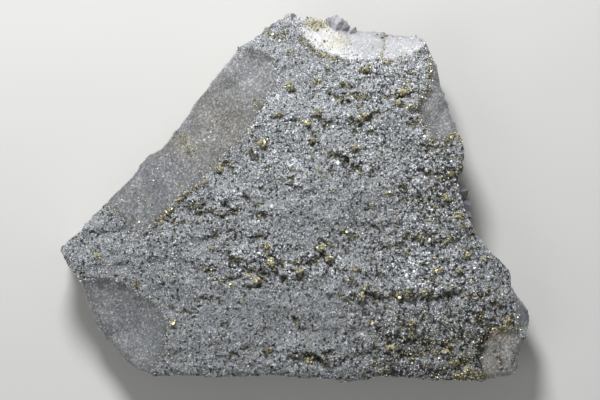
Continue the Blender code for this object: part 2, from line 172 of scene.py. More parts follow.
# Crannies in the crust: depth, then the line
CRANNIES = [
    (1.0, [(20.8, 40.0), (24.3, 39.7)]), (0.7, [(9.9, 39.7), (10.9, 39.4)]),
    (0.4, [(2.9, 36.2), (7.7, 35.8)]), (1.0, [(-1.9, 33.6), (-0.3, 33.6)]),
    (0.5, [(14.7, 35.2), (19.8, 35.5)]), (1.0, [(16.0, 32.6), (18.6, 32.0), (21.4, 31.7)]),
    (0.8, [(11.2, 32.6), (13.8, 31.4), (15.7, 30.1)]),
    (1.0, [(27.2, 33.6), (28.2, 31.7), (30.7, 32.0), (33.6, 32.6), (36.2, 32.3), (38.7, 33.6)]),
    (0.7, [(27.8, 35.2), (28.8, 35.8)]), (0.7, [(35.8, 39.7), (37.8, 38.7)]),
    (1.0, [(26.9, 27.2), (24.3, 25.6), (22.7, 24.0), (21.1, 22.4)]), (0.7, [(17.6, 25.0), (20.2, 22.7)]),
    (0.9, [(18.6, 20.2), (19.2, 20.8)]), (1.0, [(6.4, 25.6), (7.4, 25.3)]),
    (0.7, [(7.7, 24.3), (9.9, 22.7), (11.8, 24.6)]), (0.7, [(2.6, 24.0), (4.8, 21.4)]),
    (1.0, [(6.1, 18.9), (5.4, 17.0)]), (0.9, [(10.6, 12.5), (12.5, 12.8), (14.7, 13.8)]),
    (1.2, [(16.0, 11.2), (17.9, 9.9), (20.5, 8.6)]), (0.8, [(10.9, 8.6), (11.8, 8.3)]),
    (0.6, [(31.7, 29.1), (35.2, 28.8)]), (0.8, [(36.8, 24.0), (39.0, 23.4)]),
    (0.6, [(23.4, 20.5), (25.6, 20.2)]), (0.6, [(28.5, 17.9), (30.1, 17.6)]),
    (0.6, [(28.2, 16.0), (30.7, 15.4), (33.3, 14.7)]), (0.6, [(21.4, 6.1), (23.4, 7.4), (25.9, 8.0)]),
    (0.7, [(40.0, 9.3), (42.2, 7.0), (46.7, 6.7)]),
    (0.6, [(39.4, 16.6), (42.6, 16.3), (44.8, 15.0), (48.3, 16.3)]), (0.9, [(33.0, 3.5), (34.2, 3.2)]),
    (1.0, [(39.0, 0.0), (40.3, -1.9)]), (0.7, [(42.6, -1.0), (43.8, -2.2)]),
    (0.7, [(21.4, -8.6), (25.6, -9.6)]), (0.7, [(15.7, -11.5), (19.2, -13.1)]),
    (0.7, [(8.3, -13.8), (11.8, -16.3)]), (0.5, [(12.2, -14.7), (17.6, -14.1)]),
    (0.7, [(24.6, -14.7), (28.8, -16.0), (33.6, -15.4)]), (0.8, [(34.6, -12.5), (37.4, -13.1)]),
    (1.1, [(40.3, -12.2), (43.2, -12.5)]), (0.9, [(44.5, -13.4), (46.1, -13.8)]),
    (0.7, [(48.3, -8.3), (49.6, -8.3)]), (1.1, [(7.4, -16.6), (9.6, -18.9), (11.8, -21.4)]),
    (0.9, [(-1.6, -20.8), (2.6, -20.5), (6.1, -21.1), (7.4, -19.5)]), (1.0, [(2.6, -25.0), (0.3, -26.6)]),
    (0.6, [(26.6, -25.0), (28.2, -25.0)]), (0.6, [(18.2, -26.2), (19.5, -27.5)]),
    (0.9, [(18.6, -31.7), (19.5, -32.6)]), (0.8, [(22.8, -31.0), (26.2, -32.4)]),
    (0.8, [(29.4, -30.2), (32.0, -31.8), (34.0, -33.0)]), (0.5, [(36.6, -30.8), (38.2, -32.4)]),
    (0.8, [(40.6, -31.2), (42.8, -33.2), (44.8, -31.6)]), (0.6, [(47.8, -31.4), (50.6, -29.6)]),
    (0.8, [(56.0, -31.0), (60.2, -32.0)]), (0.8, [(62.4, -33.9), (64.6, -34.6)]),
    (0.7, [(41.6, -26.2), (45.1, -25.6)]), (0.6, [(51.2, -24.0), (54.7, -25.0)]),
    (0.5, [(25.3, -33.9), (26.6, -37.1)]), (0.8, [(-6.7, 25.0), (-3.8, 25.9)]),
    (0.6, [(-0.3, 24.6), (0.6, 24.0)]), (1.1, [(-13.8, 14.7), (-12.8, 11.5)]),
    (0.7, [(-21.8, 11.2), (-20.2, 8.6)]), (0.6, [(-25.0, 7.7), (-23.4, 8.0)]),
    (0.7, [(-2.9, 8.6), (-0.3, 8.6)]), (0.7, [(-1.3, 6.1), (-0.6, 3.5)]),
    (0.8, [(-32.6, -3.2), (-28.8, -2.2)]), (0.8, [(-32.0, -5.4), (-25.6, -4.5)]),
    (1.1, [(-22.7, -1.9), (-20.5, -3.5), (-18.6, -5.1)]), (1.0, [(-16.3, 0.0), (-14.7, -0.6)]),
    (0.7, [(-12.8, -2.6), (-11.5, -2.6)]), (1.0, [(-10.9, -5.8), (-9.6, -6.1)]),
    (0.7, [(-40.0, -8.0), (-37.4, -9.6), (-35.2, -8.0)]), (0.5, [(-33.6, -8.6), (-31.0, -8.6)]),
    (1.0, [(-21.1, -10.9), (-19.8, -11.2)]), (0.7, [(-25.6, -12.2), (-24.3, -11.5)]),
    (1.1, [(-11.5, -12.8), (-9.6, -13.4)]), (0.7, [(-11.2, 2.6), (-10.2, 2.2)]),
    (0.8, [(-22.7, -15.0), (-21.4, -15.4)]), (1.2, [(-21.1, -18.6), (-19.5, -21.1), (-18.2, -20.5)]),
    (0.9, [(-29.8, -22.1), (-28.2, -23.7), (-26.2, -24.0)]), (1.0, [(-7.7, -19.2), (-6.7, -18.2)]),
    (0.9, [(-5.8, -20.8), (-4.8, -21.4)]), (1.1, [(-7.0, -22.7), (-6.1, -24.0), (-3.5, -25.9)]),
    (1.1, [(-10.9, -23.4), (-9.9, -26.6), (-11.8, -28.5), (-15.4, -28.8)]),
    (0.8, [(-24.0, -26.2), (-19.8, -26.6), (-17.6, -25.6)]), (0.8, [(-29.4, -32.6), (-26.2, -32.0)]),
    (0.9, [(-35.8, -36.2), (-32.3, -36.8)]), (0.7, [(-40.0, -35.2), (-39.0, -34.9)]),
    (1.0, [(-0.6, -39.0), (1.0, -39.7)]), (0.7, [(1.9, -42.2), (3.5, -41.9)]),
    (1.0, [(3.2, -49.9), (6.4, -51.5), (8.6, -52.5), (9.9, -50.2), (12.2, -48.6)]),
    (0.7, [(-19.8, -49.9), (-18.6, -50.2)]), (0.7, [(-16.6, -48.6), (-14.4, -47.4)]),
    (0.6, [(-9.3, -49.6), (-6.7, -49.3)]), (0.5, [(-27.2, -48.0), (-25.6, -46.7)]),
    (1.7, [(59.0, -49.2), (59.8, -46.7), (61.4, -44.5), (63.4, -42.2)]),
    (0.8, [(57.9, -40.0), (60.2, -38.7), (62.1, -40.3)]), (0.7, [(46.4, -47.0), (50.2, -49.0)]),
    (0.7, [(41.3, -45.8), (43.5, -48.0)]), (0.7, [(33.0, -49.6), (36.5, -50.9)]),
    (0.7, [(52.5, -51.8), (55.4, -52.8)]), (0.8, [(64.4, -50.0), (65.9, -52.8), (66.6, -56.3)]),
    (0.5, [(68.8, -47.6), (70.6, -50.4), (70.2, -53.6)]),
]

# Where the crust is rugged: x, y, half its width and height
RUGGED = [
    (-14.0, -18.0, 17.0, 9.0), (8.0, -19.0, 10.0, 6.0), (-25.0, -3.0, 13.0, 5.0), (20.0, 33.0, 17.0, 12.0),
    (18.0, 12.0, 9.0, 7.0), (43.0, 4.0, 9.0, 17.0), (42.0, -20.0, 16.0, 8.0), (52.0, -44.0, 14.0, 9.0),
    (-6.0, 26.0, 8.0, 9.0), (-43.0, -9.0, 9.0, 7.0), (2.0, -50.0, 16.0, 5.0), (34.0, -46.0, 10.0, 8.0),
    (-2.0, 8.0, 8.0, 8.0),
]

# Pale knobs that stand out of the crust: x, y, radius
KNOBS = [
    (4.5, 25.6, 1.1), (-1.9, 10.9, 1.0), (-19.2, 1.6, 0.8), (-11.5, -18.2, 1.3), (-13.8, -26.2, 1.6),
    (-2.6, -22.4, 1.3), (41.0, -30.4, 1.3), (24.3, 22.4, 1.6), (19.5, 15.7, 1.4), (-17.3, 1.3, 0.6),
    (-9.6, 9.9, 1.3), (-11.8, -7.7, 1.6), (4.2, 8.0, 1.0), (-16.6, -21.8, 1.3),
    (-21.4, -22.1, 1.3), (-27.2, -51.2, 1.3), (-1.6, -14.4, 1.1), (-2.9, -12.8, 1.0), (11.8, 21.4, 1.3),
    (16.3, 14.4, 1.1), (43.2, -3.5, 1.6), (49.6, -2.9, 1.3), (40.0, -14.1, 1.3), (42.6, -14.7, 1.3),
    (14.4, -19.5, 1.1), (11.2, -19.8, 1.0), (58.6, -45.8, 1.0), (21.4, 41.6, 1.0),
]

# Clusters of chalcopyrite: x, y, radius
CLUSTERS = [
    (-10.6, 17.2, 1.7), (22.7, 40.3, 1.2), (-11.2, 29.8, 0.9), (-1.6, 35.2, 1.2),
    (-5.1, 26.2, 1.0), (3.8, 23.7, 1.3), (7.4, 26.9, 0.9), (7.0, 36.8, 0.8),
    (15.0, 36.5, 0.9), (17.6, 35.2, 0.8), (14.4, 31.0, 1.0), (20.8, 25.3, 1.1),
    (21.4, 32.3, 0.9), (34.6, 33.3, 1.2), (33.0, 29.8, 0.9), (36.8, 28.5, 0.9),
    (18.9, 15.4, 1.1), (5.8, 18.2, 1.0), (-8.6, 9.9, 0.8), (-24.0, 9.0, 0.9),
    (-40.3, -4.8, 0.9), (-26.2, -16.6, 0.9),
    (-9.0, -15.7, 1.2), (-8.0, -20.8, 1.2), (-15.0, -25.3, 0.9), (-11.8, -26.6, 0.9),
    (1.3, -23.7, 1.0), (8.0, -16.3, 1.1), (10.2, -19.2, 0.9), (19.5, -23.0, 0.9),
    (22.7, -29.1, 1.0), (21.1, -32.0, 1.0), (32.6, -31.4, 1.0), (41.6, -30.4, 0.9),
    (45.4, -23.4, 1.0), (48.0, -0.3, 1.0), (52.2, -6.1, 1.1), (39.4, -13.1, 1.0),
    (48.6, -13.8, 1.0), (54.7, -18.6, 1.0), (60.5, -19.5, 0.8), (52.5, -23.4, 0.9),
    (68.0, -39.4, 1.2), (4.8, -52.2, 1.0), (-9.0, -49.0, 0.9), (30.4, -48.0, 0.9),
    (48.0, -49.0, 1.0), (51.2, -52.8, 1.1), (54.7, -56.0, 1.1), (37.1, -40.0, 0.8),
    (-39.0, -40.0, 0.9), (-50.6, -27.8, 0.8), (-63.0, -18.9, 0.9),
]

# Seams of chalcopyrite: half their width, then the line
ORE_SEAMS = [
    (0.55, [(28.6, 51.6), (28.2, 47.5), (27.4, 43.2)]),
    (0.4, [(42.4, 34.0), (40.6, 31.6), (39.6, 28.5), (39.9, 24.6), (41.9, 21.3)]),
    (0.4, [(-10.8, 53.6), (-7.0, 51.6), (-3.4, 49.4)]),
    (0.45, [(-45.6, -9.4), (-42.0, -6.6), (-38.2, -2.0), (-35.0, 0.8), (-30.6, 3.4), (-27.4, 5.2)]),
    (0.5, [(43.3, 44.4), (43.0, 39.5), (42.4, 34.4)]),
    (0.7, [(43.2, 17.3), (45.3, 18.2), (48.5, 17.9), (50.6, 19.5), (52.5, 19.2)]),
    (0.7, [(63.6, -42.0), (67.6, -41.6), (71.6, -42.6)]),
    (1.5, [(51.4, -57.4), (55.4, -55.8), (60.0, -57.6)]),
    (0.7, [(2.4, 50.0), (5.6, 46.8), (9.4, 44.9), (13.2, 43.8)]),
]

# Fine dustings of chalcopyrite on the breaks: x, y, radius, share
DUSTINGS = [
    (-35.6, 18.4, 2.4, 0.45), (-33.4, 14.6, 2.2, 0.4), (-30.6, 8.6, 1.6, 0.3), (-29.0, 11.2, 3.0, 0.08),
    (-26.0, 27.0, 5.0, 0.02), (-11.0, 29.8, 1.6, 0.6), (-37.0, 3.6, 1.0, 0.8), (-47.0, -1.0, 4.0, 0.06),
    (5.4, 55.2, 2.2, 0.7), (9.2, 54.7, 1.9, 0.7), (14.7, 50.2, 2.4, 0.04), (9.6, 47.0, 1.6, 0.3),
    (18.0, 45.6, 1.8, 0.2), (33.0, 44.8, 2.6, 0.15), (42.0, 31.0, 2.0, 0.08), (70.4, -44.4, 2.0, 0.15),
]

# Soft patches on the broken faces: x, y, radius, and what the face's colour is multiplied by
PATCHES = [
    (-36.6, 24.6, 3.4, (1.42, 1.50, 1.62)), (-35.0, 16.4, 3.4, (1.42, 1.40, 1.24)),
    (-49.0, -1.5, 7.0, (0.84, 0.87, 0.93)), (-41.0, 6.0, 6.0, (0.94, 0.98, 1.05)),
    (-22.0, 24.0, 9.0, (1.03, 1.00, 0.91)), (-14.0, 37.0, 8.0, (1.12, 1.14, 1.18)),
    (-49.5, 7.5, 3.0, (1.12, 1.16, 1.22)), (-29.0, 6.5, 3.0, (0.90, 0.94, 1.02)),
    (-56.0, -36.0, 7.0, (1.04, 1.06, 1.09)), (-45.0, -46.0, 5.0, (0.92, 0.94, 0.97)),
    # At (43.4, 31.0) the patch is painted light, which lifts the shadow that the crust's step casts on the
    # right break
    (45.5, 39.0, 3.6, (1.45, 1.46, 1.47)), (43.4, 31.0, 3.8, (2.4, 2.41, 2.43)),
    (-17.5, 42.5, 4.4, (1.45, 1.47, 1.51)), (-29.4, 26.9, 3.0, (1.2, 1.2, 1.22)),
    (-33.9, 15.0, 2.4, (1.12, 1.12, 1.1)), (-63.0, -32.5, 5.0, (1.6, 1.58, 1.55)),
    (-40.0, 8.0, 3.2, (0.89, 0.89, 0.90)), (-14.4, 27.8, 3.0, (0.93, 0.93, 0.93)),
    (61.4, -55.4, 2.4, (1.25, 1.22, 1.15)), (-52.0, -44.0, 4.0, (0.94, 0.95, 0.96)),
    (67.0, -47.5, 3.5, (1.15, 1.15, 1.15)), (64.0, -54.0, 3.0, (0.88, 0.86, 0.84)),
    (66.0, -43.2, 2.2, (1.15, 1.02, 0.72)), (62.0, -45.8, 1.6, (1.15, 1.02, 0.72)),
]

# Soft lighter and darker patches in the crust: x, y, radius, and what the tone is multiplied by
CRUST_PATCHES = [
    (-4.0, 51.2, 2.6, 1.45), (41.6, -14.7, 2.8, 1.75), (48.6, -4.2, 2.6, 1.3), (44.8, -6.2, 2.4, 1.2),
    (33.6, -20.8, 2.6, 1.3), (12.0, -22.4, 3.4, 1.35), (-1.2, -25.8, 3.2, 1.5), (-17.8, -21.8, 3.4, 1.35),
    (-13.0, -11.2, 3.0, 1.4), (25.6, -24.6, 2.8, 1.25), (-10.6, -9.0, 2.4, 1.2),
    (-17.0, -16.0, 2.4, 1.2), (-9.6, -19.5, 2.4, 1.25), (-3.2, -21.4, 2.0, 1.15),
    (43.2, -29.8, 2.2, 1.3), (41.6, -38.8, 3.4, 1.2), (56.0, -37.8, 4.0, 1.2),
    (64.0, -37.0, 3.0, 0.85), (28.2, -42.6, 3.2, 1.2), (-12.2, 16.0, 2.4, 1.2), (17.6, 27.8, 2.6, 1.15),
    (29.0, 38.4, 3.2, 1.12), (38.4, 38.0, 4.0, 1.12), (-9.6, 5.4, 2.6, 1.12), (-28.8, 2.2, 2.4, 1.12),
    (-35.2, -28.8, 3.2, 1.12), (44.0, -54.5, 2.6, 1.15), (-1.6, 44.0, 3.2, 0.9), (-12.0, 29.6, 2.8, 0.86),
    (-1.6, 30.4, 3.0, 0.86), (8.0, 31.0, 3.0, 0.9), (25.6, 43.4, 3.2, 0.93), (8.0, 43.8, 2.6, 0.9),
    (25.6, 13.4, 4.0, 0.9), (19.8, 7.0, 3.2, 0.9), (-8.0, -23.4, 2.6, 0.85), (16.0, -31.4, 2.2, 0.9),
    (-54.4, -25.6, 3.4, 0.9), (36.0, -50.0, 4.6, 0.82), (49.0, -47.8, 6.0, 0.7), (56.0, -43.2, 2.6, 0.76),
    (27.0, -31.6, 3.4, 0.85), (10.0, -44.0, 4.0, 0.93), (19.5, -37.0, 4.0, 0.88),
]


class Point(NamedTuple):
    """A glassy quartz crystal at the edge: where its tip is, its size, and the way it leans."""

    x: float
    y: float
    z: float
    radius: float
    length: float  # from its foot to its tip
    lean: tuple
    grown: float = 1.1  # how much larger it is than the solid's own


GLASSY_POINTS = [
    Point(13.4, 58.1, 22.5, 2.1, 8.0, (0.05, 0.75, 0.60), 1.05),
    Point(16.5, 56.3, 21.4, 1.8, 7.0, (0.30, 0.70, 0.60), 0.95),
    Point(19.2, 54.6, 20.8, 1.5, 6.5, (0.50, 0.60, 0.60), 0.95),
    Point(10.4, 57.5, 21.8, 1.6, 7.0, (-0.2, 0.70, 0.65), 0.8),
    Point(-1.4, 58.4, 24.0, 2.3, 8.0, (0.00, 0.55, 0.80), 0.95),
    Point(-5.4, 56.8, 23.2, 1.9, 7.0, (-0.4, 0.60, 0.70), 0.75),
    Point(-9.6, 54.3, 22.6, 1.7, 7.0, (-0.5, 0.50, 0.70), 0.75),
    Point(54.2, 1.80, 18.5, 2.1, 8.0, (0.85, 0.25, 0.35), 2.0),
    Point(55.0, -2.3, 17.0, 2.4, 8.0, (0.90, 0.00, 0.30), 1.9),
    Point(55.8, -6.3, 18.0, 1.9, 8.0, (0.85, -0.2, 0.35), 1.7),
    Point(47.9, 33.4, 16.5, 1.6, 7.0, (0.80, 0.20, 0.40)),
    Point(49.3, 30.0, 16.0, 1.5, 7.0, (0.85, 0.10, 0.30)),
    Point(38.6, 52.2, 20.0, 1.4, 6.0, (0.30, 0.70, 0.50), 0.75),
    Point(28.0, 53.2, 19.6, 1.5, 6.0, (-0.1, 0.80, 0.50), 0.7),
]

# ---------------------------------------------------------------- settings


class PlateSettings(bpy.types.PropertyGroup):
    grain: FloatProperty(
        name="Grain", description="Size of the mesh's faces on the top", default=0.0005, unit="LENGTH"
    )
    kept: FloatProperty(
        name="Kept", description="Share of the mesh kept when its back and sides are thinned out",
        default=0.5, subtype="FACTOR",
    )
    sink: FloatProperty(
        name="Sink", description="How far the crust's floor lies below the crystals",
        default=0.0003, unit="LENGTH",
    )
    # The crust's floor is painted dark as the shade in the gaps between the crystals
    shaded_crust_floor: FloatVectorProperty(
        name="Crust floor", description="Colour between the crystals",
        subtype="COLOR", default=(0.16, 0.169, 0.178),
    )
    # Dark brown under the ore: partly the ground's own colour, partly painted shade in the gaps between the
    # grains
    ore_floor_and_shade: FloatVectorProperty(
        name="Ore floor", description="Colour between the grains of chalcopyrite",
        subtype="COLOR", default=(0.12, 0.106, 0.058),
    )
    wall: FloatVectorProperty(
        name="Wall", description="Colour of the broken sides and back",
        subtype="COLOR", default=(0.31, 0.30, 0.285),
    )
    comb: FloatVectorProperty(
        name="Comb quartz", description="Colour of the quartz just under the crust",
        subtype="COLOR", default=(0.46, 0.46, 0.465),
    )
    lilac: FloatVectorProperty(
        name="Lilac", description="Colour of the rim of the milky patch",
        subtype="COLOR", default=(0.36, 0.355, 0.40),
    )
    stain: FloatVectorProperty(
        name="Stain", description="Colour of the iron stain", subtype="COLOR", default=(0.38, 0.31, 0.18)
    )
    milky: FloatVectorProperty(
        name="Milky", description="Colour of the milky layer in the sides",
        subtype="COLOR", default=(0.52, 0.515, 0.50),
    )


class DruseSettings(bpy.types.PropertyGroup):
    gap: FloatProperty(
        name="Gap", description="Least distance between two crystals", default=0.00025, unit="LENGTH"
    )
    radius: FloatProperty(
        name="Radius", description="Usual radius of a crystal", default=0.0002, unit="LENGTH"
    )
    tilt: FloatProperty(name="Tilt", description="How far the crystals lean at random", default=0.36)
    large_share: FloatProperty(
        name="Large share", description="Share of crystals with a full prism and tip",
        default=0.025, subtype="FACTOR",
    )
    sugar_gap: FloatProperty(
        name="Sugar gap", description="Least distance between two splinters on the breaks",
        default=0.00042, unit="LENGTH",
    )
    pieces: IntProperty(name="Pieces", description="Number of meshes that the crust is split in", default=5)
    colour: FloatVectorProperty(
        name="Colour", description="Colour of the crystals", subtype="COLOR", default=(0.50, 0.53, 0.56)
    )
    stained: FloatVectorProperty(
        name="Stained", description="Colour of crystals among the ore",
        subtype="COLOR", default=(0.26, 0.248, 0.19),
    )
    milky: FloatVectorProperty(
        name="Milky", description="Colour of crystals by the milky quartz",
        subtype="COLOR", default=(0.66, 0.67, 0.69),
    )


class GlassySettings(bpy.types.PropertyGroup):
    edge: FloatProperty(
        name="Edge", description="Width of the worn edges", default=0.00004, unit="LENGTH"
    )
    clear: FloatVectorProperty(
        name="Clear", description="Colour of the points at the far edge",
        subtype="COLOR", default=(0.66, 0.66, 0.71),
    )
    smoky: FloatVectorProperty(
        name="Smoky", description="Colour of the points at the right edge",
        subtype="COLOR", default=(0.21, 0.20, 0.255),
    )


class ChalcopyriteSettings(bpy.types.PropertyGroup):
    gap: FloatProperty(
        name="Gap", description="Least distance between two grains", default=0.0004, unit="LENGTH"
    )
    radius: FloatProperty(
        name="Radius", description="Usual radius of a grain", default=0.00026, unit="LENGTH"
    )
    strewn: IntProperty(
        name="Strewn clusters", description="Number of small clusters strewn about", default=310
    )
    stray: FloatProperty(
        name="Stray grains", description="Share of places away from the ore that bear a grain",
        default=0.008, subtype="FACTOR",
    )
    colour: FloatVectorProperty(
        name="Brass", description="Colour of a fresh grain", subtype="COLOR", default=(0.90, 0.84, 0.54)
    )
    tarnish: FloatVectorProperty(
        name="Tarnish", description="Colour of a tarnished grain",
        subtype="COLOR", default=(0.14, 0.124, 0.058),
    )


class StageSettings(bpy.types.PropertyGroup):
    floor_colour: FloatVectorProperty(
        name="Floor", description="Colour of the floor", subtype="COLOR", default=(0.66, 0.66, 0.65)
    )
    key_power: FloatProperty(
        name="Key light", description="Power of the key light", default=3.7, unit="POWER"
    )
    fill_power: FloatProperty(
        name="Fill light", description="Power of the fill light", default=1.2, unit="POWER"
    )
    sky: FloatProperty(name="Sky", description="Brightness of the room around", default=0.22)
    camera_height: FloatProperty(
        name="Camera height", description="From the crust to the camera", default=1.0667, unit="LENGTH"
    )


# ---------------------------------------------------------------- sums on arrays of points


def distance_to_line(points, line):
    """How far each point is from a line, and +1 where the point is on the line's left hand, else -1."""
    nearest = np.full(len(points), np.inf)
    side = np.ones(len(points))
    corners = np.array(line, float)
    for start, end in zip(corners[:-1], corners[1:]):
        run = end - start
        along = np.clip((points - start) @ run / (run @ run), 0, 1)
        gap = points - start - along[:, None] * run
        distance = np.hypot(gap[:, 0], gap[:, 1])
        nearer = distance < nearest
        nearest[nearer] = distance[nearer]
        side[nearer] = np.sign(run[0] * gap[:, 1] - run[1] * gap[:, 0])[nearer]
    return nearest, side


def inside(points, polygon):
    """Whether each point lies inside a closed polygon, by counting the edges to its right."""
    crossings = np.zeros(len(points), int)
    corners = np.array(polygon, float)
    for a, b in zip(corners, np.roll(corners, -1, axis=0)):
        spans = (a[1] > points[:, 1]) != (b[1] > points[:, 1])
        rise = b[1] - a[1] or 1e-9
        x_there = a[0] + (points[:, 1] - a[1]) * (b[0] - a[0]) / rise
        crossings += spans & (points[:, 0] < x_there)
    return crossings % 2 == 1


def smooth_step(values):
    t = np.clip(values, 0, 1)
    return t * t * (3 - 2 * t)


def fading(distance, reach):
    """1 at no distance, and nearly 0 at twice the reach."""
    return np.exp(-((distance / reach) ** 2))


def spot(points, x, y, radius):
    """1 at the middle of a round spot, and nearly 0 at twice its radius."""
    return fading(np.hypot(points[:, 0] - x, points[:, 1] - y), radius)


def oval(points, x, y, wide, tall):
    """1 at the middle of an oval, and nearly 0 at twice its half width and height."""
    return np.exp(-(((points[:, 0] - x) / wide) ** 2) - ((points[:, 1] - y) / tall) ** 2)


def rough(points, size, layer, octaves=3):
    """Fractal noise from about -1 to 1. Size is its largest swell, and each layer is a noise of its own."""
    padded = np.zeros((len(points), 3))
    padded[:, : points.shape[1]] = points
    padded = padded / size + 100.0 + layer
    return np.array([noise.fractal(Vector(place), 0.9, 2.0, octaves) for place in padded])


def wrinkled(points, amount, size, layer):
    """The points shifted by noise of that size, so that a line or a ring drawn on them turns ragged."""
    shift = np.column_stack([rough(points, size, layer), rough(points, size, layer + 2)])
    return points[:, :2] + amount * shift


def around(points, line, reach):
    """Which points are within reach of the box round a line."""
    low, high = np.min(line, axis=0) - reach, np.max(line, axis=0) + reach
    return ((points >= low) & (points <= high)).all(axis=1)


def ledge_relief(points):
    """Wears the solid's own smooth ledges down in places and lays rubble over them, in millimetres."""
    height = np.zeros(len(points))
    moved = wrinkled(points, 0.9, 2.4, layer=71)
    worn = np.clip(0.75 + 0.8 * rough(points, 4.0, layer=73), 0.3, 1)
    rubble = rough(points, 1.9, layer=51)
    for lift, line in LEDGES:
        near = around(points, line, 14)
        ends = [np.hypot(*(points[near] - end).T) for end in (line[0], line[-1])]
        strength = lift * smooth_step(np.minimum(*ends) / 4.0)
        distance, side = distance_to_line(points[near], line)
        own = np.where(side > 0, fading(distance, 6), -0.45 * fading(distance, 2.2))
        distance, side = distance_to_line(moved[near], line)
        ragged = 0.3 * np.clip(distance * side / 0.4, -1, 1) + 0.55 * rubble[near]
        height[near] += strength * (fading(distance, 1.5) * ragged - worn[near] * own)
    return height


def crannies(points, spread_out=1.0):
    """How deep each point lies in a cranny, and how far up the lip above one, both from 0 to 1."""
    depth, lip = np.zeros(len(points)), np.zeros(len(points))
    moved = wrinkled(wrinkled(points, 1.0, 3.6, layer=55), 0.75, 1.2, layer=53)
    for strength, line in CRANNIES:
        near = around(points, line, 3.5)
        distance, side = distance_to_line(moved[near], line)
        above = distance * side * np.sign(line[-1][0] - line[0][0])
        sunk = fading(distance, spread_out * (0.3 + 0.28 * strength))
        depth[near] = np.maximum(depth[near], strength * sunk)
        lip[near] = np.maximum(lip[near], strength * fading(above - 1.1, 0.8))
    return np.minimum(depth, 1), np.minimum(lip, 1)


def gap_shade(points):
    """From 0 to 1, how far each point lies in one of the small gaps between the crystals, which are painted
    dark as shade.
    """
    share = 0.14 + 0.15 * ore_share(points) + 0.03 * ruggedness(points)
    share *= 0.5 + 1.1 * smooth_step(rough(points, 3.6, layer=93) + 0.5)
    share *= 1 - 0.3 * calmness(points)
    share += 0.14 * crannies(points, 3.0)[0]
    swell = rough(points, 0.88, layer=91, octaves=2)
    return smooth_step((swell - 0.58 + 1.6 * share) / 0.07)


def strewn_knobs():
    """Small pale knobs strewn at random where the crust is rugged."""
    random = np.random.default_rng(SEED + 4)
    places = random.uniform(-HALF_PLATE, HALF_PLATE, (4000, 2))
    places = places[random.random(len(places)) < 0.02 + 0.16 * ruggedness(places)]
    places = places[zone_of(places) < 0]
    return np.column_stack([places, random.uniform(0.5, 1.2, len(places))])


def knob(points):
    """From 0 to 1, how far up a pale knob each point is."""
    height = np.zeros(len(points))
    moved = wrinkled(points, 0.3, 1.2, layer=57)
    for x, y, radius in [*KNOBS, *strewn_knobs()]:
        near = np.flatnonzero((np.abs(moved - (x, y)) < 2.2 * radius).all(axis=1))
        height[near] = np.maximum(height[near], spot(moved[near], x, y, 0.9 * radius))
    return height


def flakes(points, size, layer):
    """Small plates: each one's height, from about -1 to 1, and from 0 to 1 the dip where two of them meet."""
    places = wrinkled(points, 0.4 * size, 0.9 * size, layer) / (1.25 * size, size)
    heights, dips = np.empty(len(points)), np.empty(len(points))
    for index, (x, y) in enumerate(places):
        gaps, cells = noise.voronoi(Vector((x, y, layer)))
        dips[index] = math.exp(-(((gaps[1] - gaps[0]) / 0.11) ** 2))
        heights[index] = 1.6 * noise.noise(cells[0] * 3.7)
    return heights, dips


def ruggedness(points):
    """From 0 to 1, how rugged the crust is around each point."""
    most = np.zeros(len(points))
    for x, y, wide, tall in RUGGED:
        most = np.maximum(most, oval(points, x, y, wide, tall))
    return most


def calmness(points):
    """From 0 to 1, how even in tone the crust is: most along the far edge of the plate."""
    return smooth_step((points[:, 1] - 14) / 16)


def near_ledges(points, reach):
    """From 0 to 1, how close each point is to the foot of a ledge."""
    nearness = np.zeros(len(points))
    for _, line in LEDGES:
        distance, _ = distance_to_line(points, line)
        nearness = np.maximum(nearness, fading(distance, reach))
    return nearness


def ore_share(points):
    """How rich in ore the crust is around each place, from 0 to 1: most at its near right corner."""
    x, y = points.T
    low_right = smooth_step((x - 8) / 34) * smooth_step((-24 - y) / 20)
    low_right *= 1 - 0.7 * oval(points, 45, -36, 14, 5)
    right = 0.3 * smooth_step((x + 5) / 50) + 0.6 * oval(points, 51, 5, 9, 13)
    middle = 0.4 * oval(points, -8, -22, 13, 5)
    return np.clip(low_right + right + middle, 0, 1)


def strewn_clusters():
    """Small clusters of chalcopyrite strewn at random, more of them where the crust is rich in ore."""
    random = np.random.default_rng(SEED + 2)
    wanted = bpy.context.scene.quartz_chalcopyrite.strewn
    places = random.uniform(-HALF_PLATE, HALF_PLATE, (40 * wanted, 2))
    kept = random.random(len(places)) < 0.05 + 0.6 * ore_share(places)
    places = places[kept][:wanted]
    sizes = np.clip(np.exp(random.normal(-0.75, 0.35, wanted)), 0.25, 1.0)
    on_crust = zone_of(places) < 0
    return np.column_stack([places, sizes, np.full(wanted, 0.75)])[on_crust]


def brassiness(points, zones):
    """How much chalcopyrite grows at each point, from 0 to 1."""
    brass = 0.22 * ore_share(points) * smooth_step((rough(points, 3.0, layer=21) + 0.2) / 0.6)
    ragged = smooth_step(rough(points, 1.8, layer=23) + 0.55)
    depth = crannies(points)[0]
    brass = np.maximum(brass, ragged * np.maximum(0.3 * near_ledges(points, 0.9), 1.9 * depth * (1 - depth)))
    for name in ("long_left", "low_left", "right", "low_right"):
        brass = np.maximum(brass, 0.32 * ragged * fading(from_crease(points, name), 0.6))
    moved = wrinkled(points, 0.8, 1.5, layer=25)
    chosen = [(*cluster, 1.0) for cluster in CLUSTERS]
    for x, y, radius, strength in [*chosen, *strewn_clusters()]:
        distance = np.hypot((moved[:, 0] - x) / 1.3, (moved[:, 1] - y) / 0.85)
        brass = np.maximum(brass, strength * np.exp(-((distance / (0.9 * radius)) ** 4)))
    brass[zones >= 0] *= 0.2
    for width, line in ORE_SEAMS:
        distance, _ = distance_to_line(moved, line)
        brass = np.maximum(brass, 0.9 * (0.4 + 0.6 * ragged) * fading(distance, width))
    for x, y, radius, strength in DUSTINGS:
        brass = np.maximum(brass, strength * ragged * spot(moved, x, y, radius))
    return brass


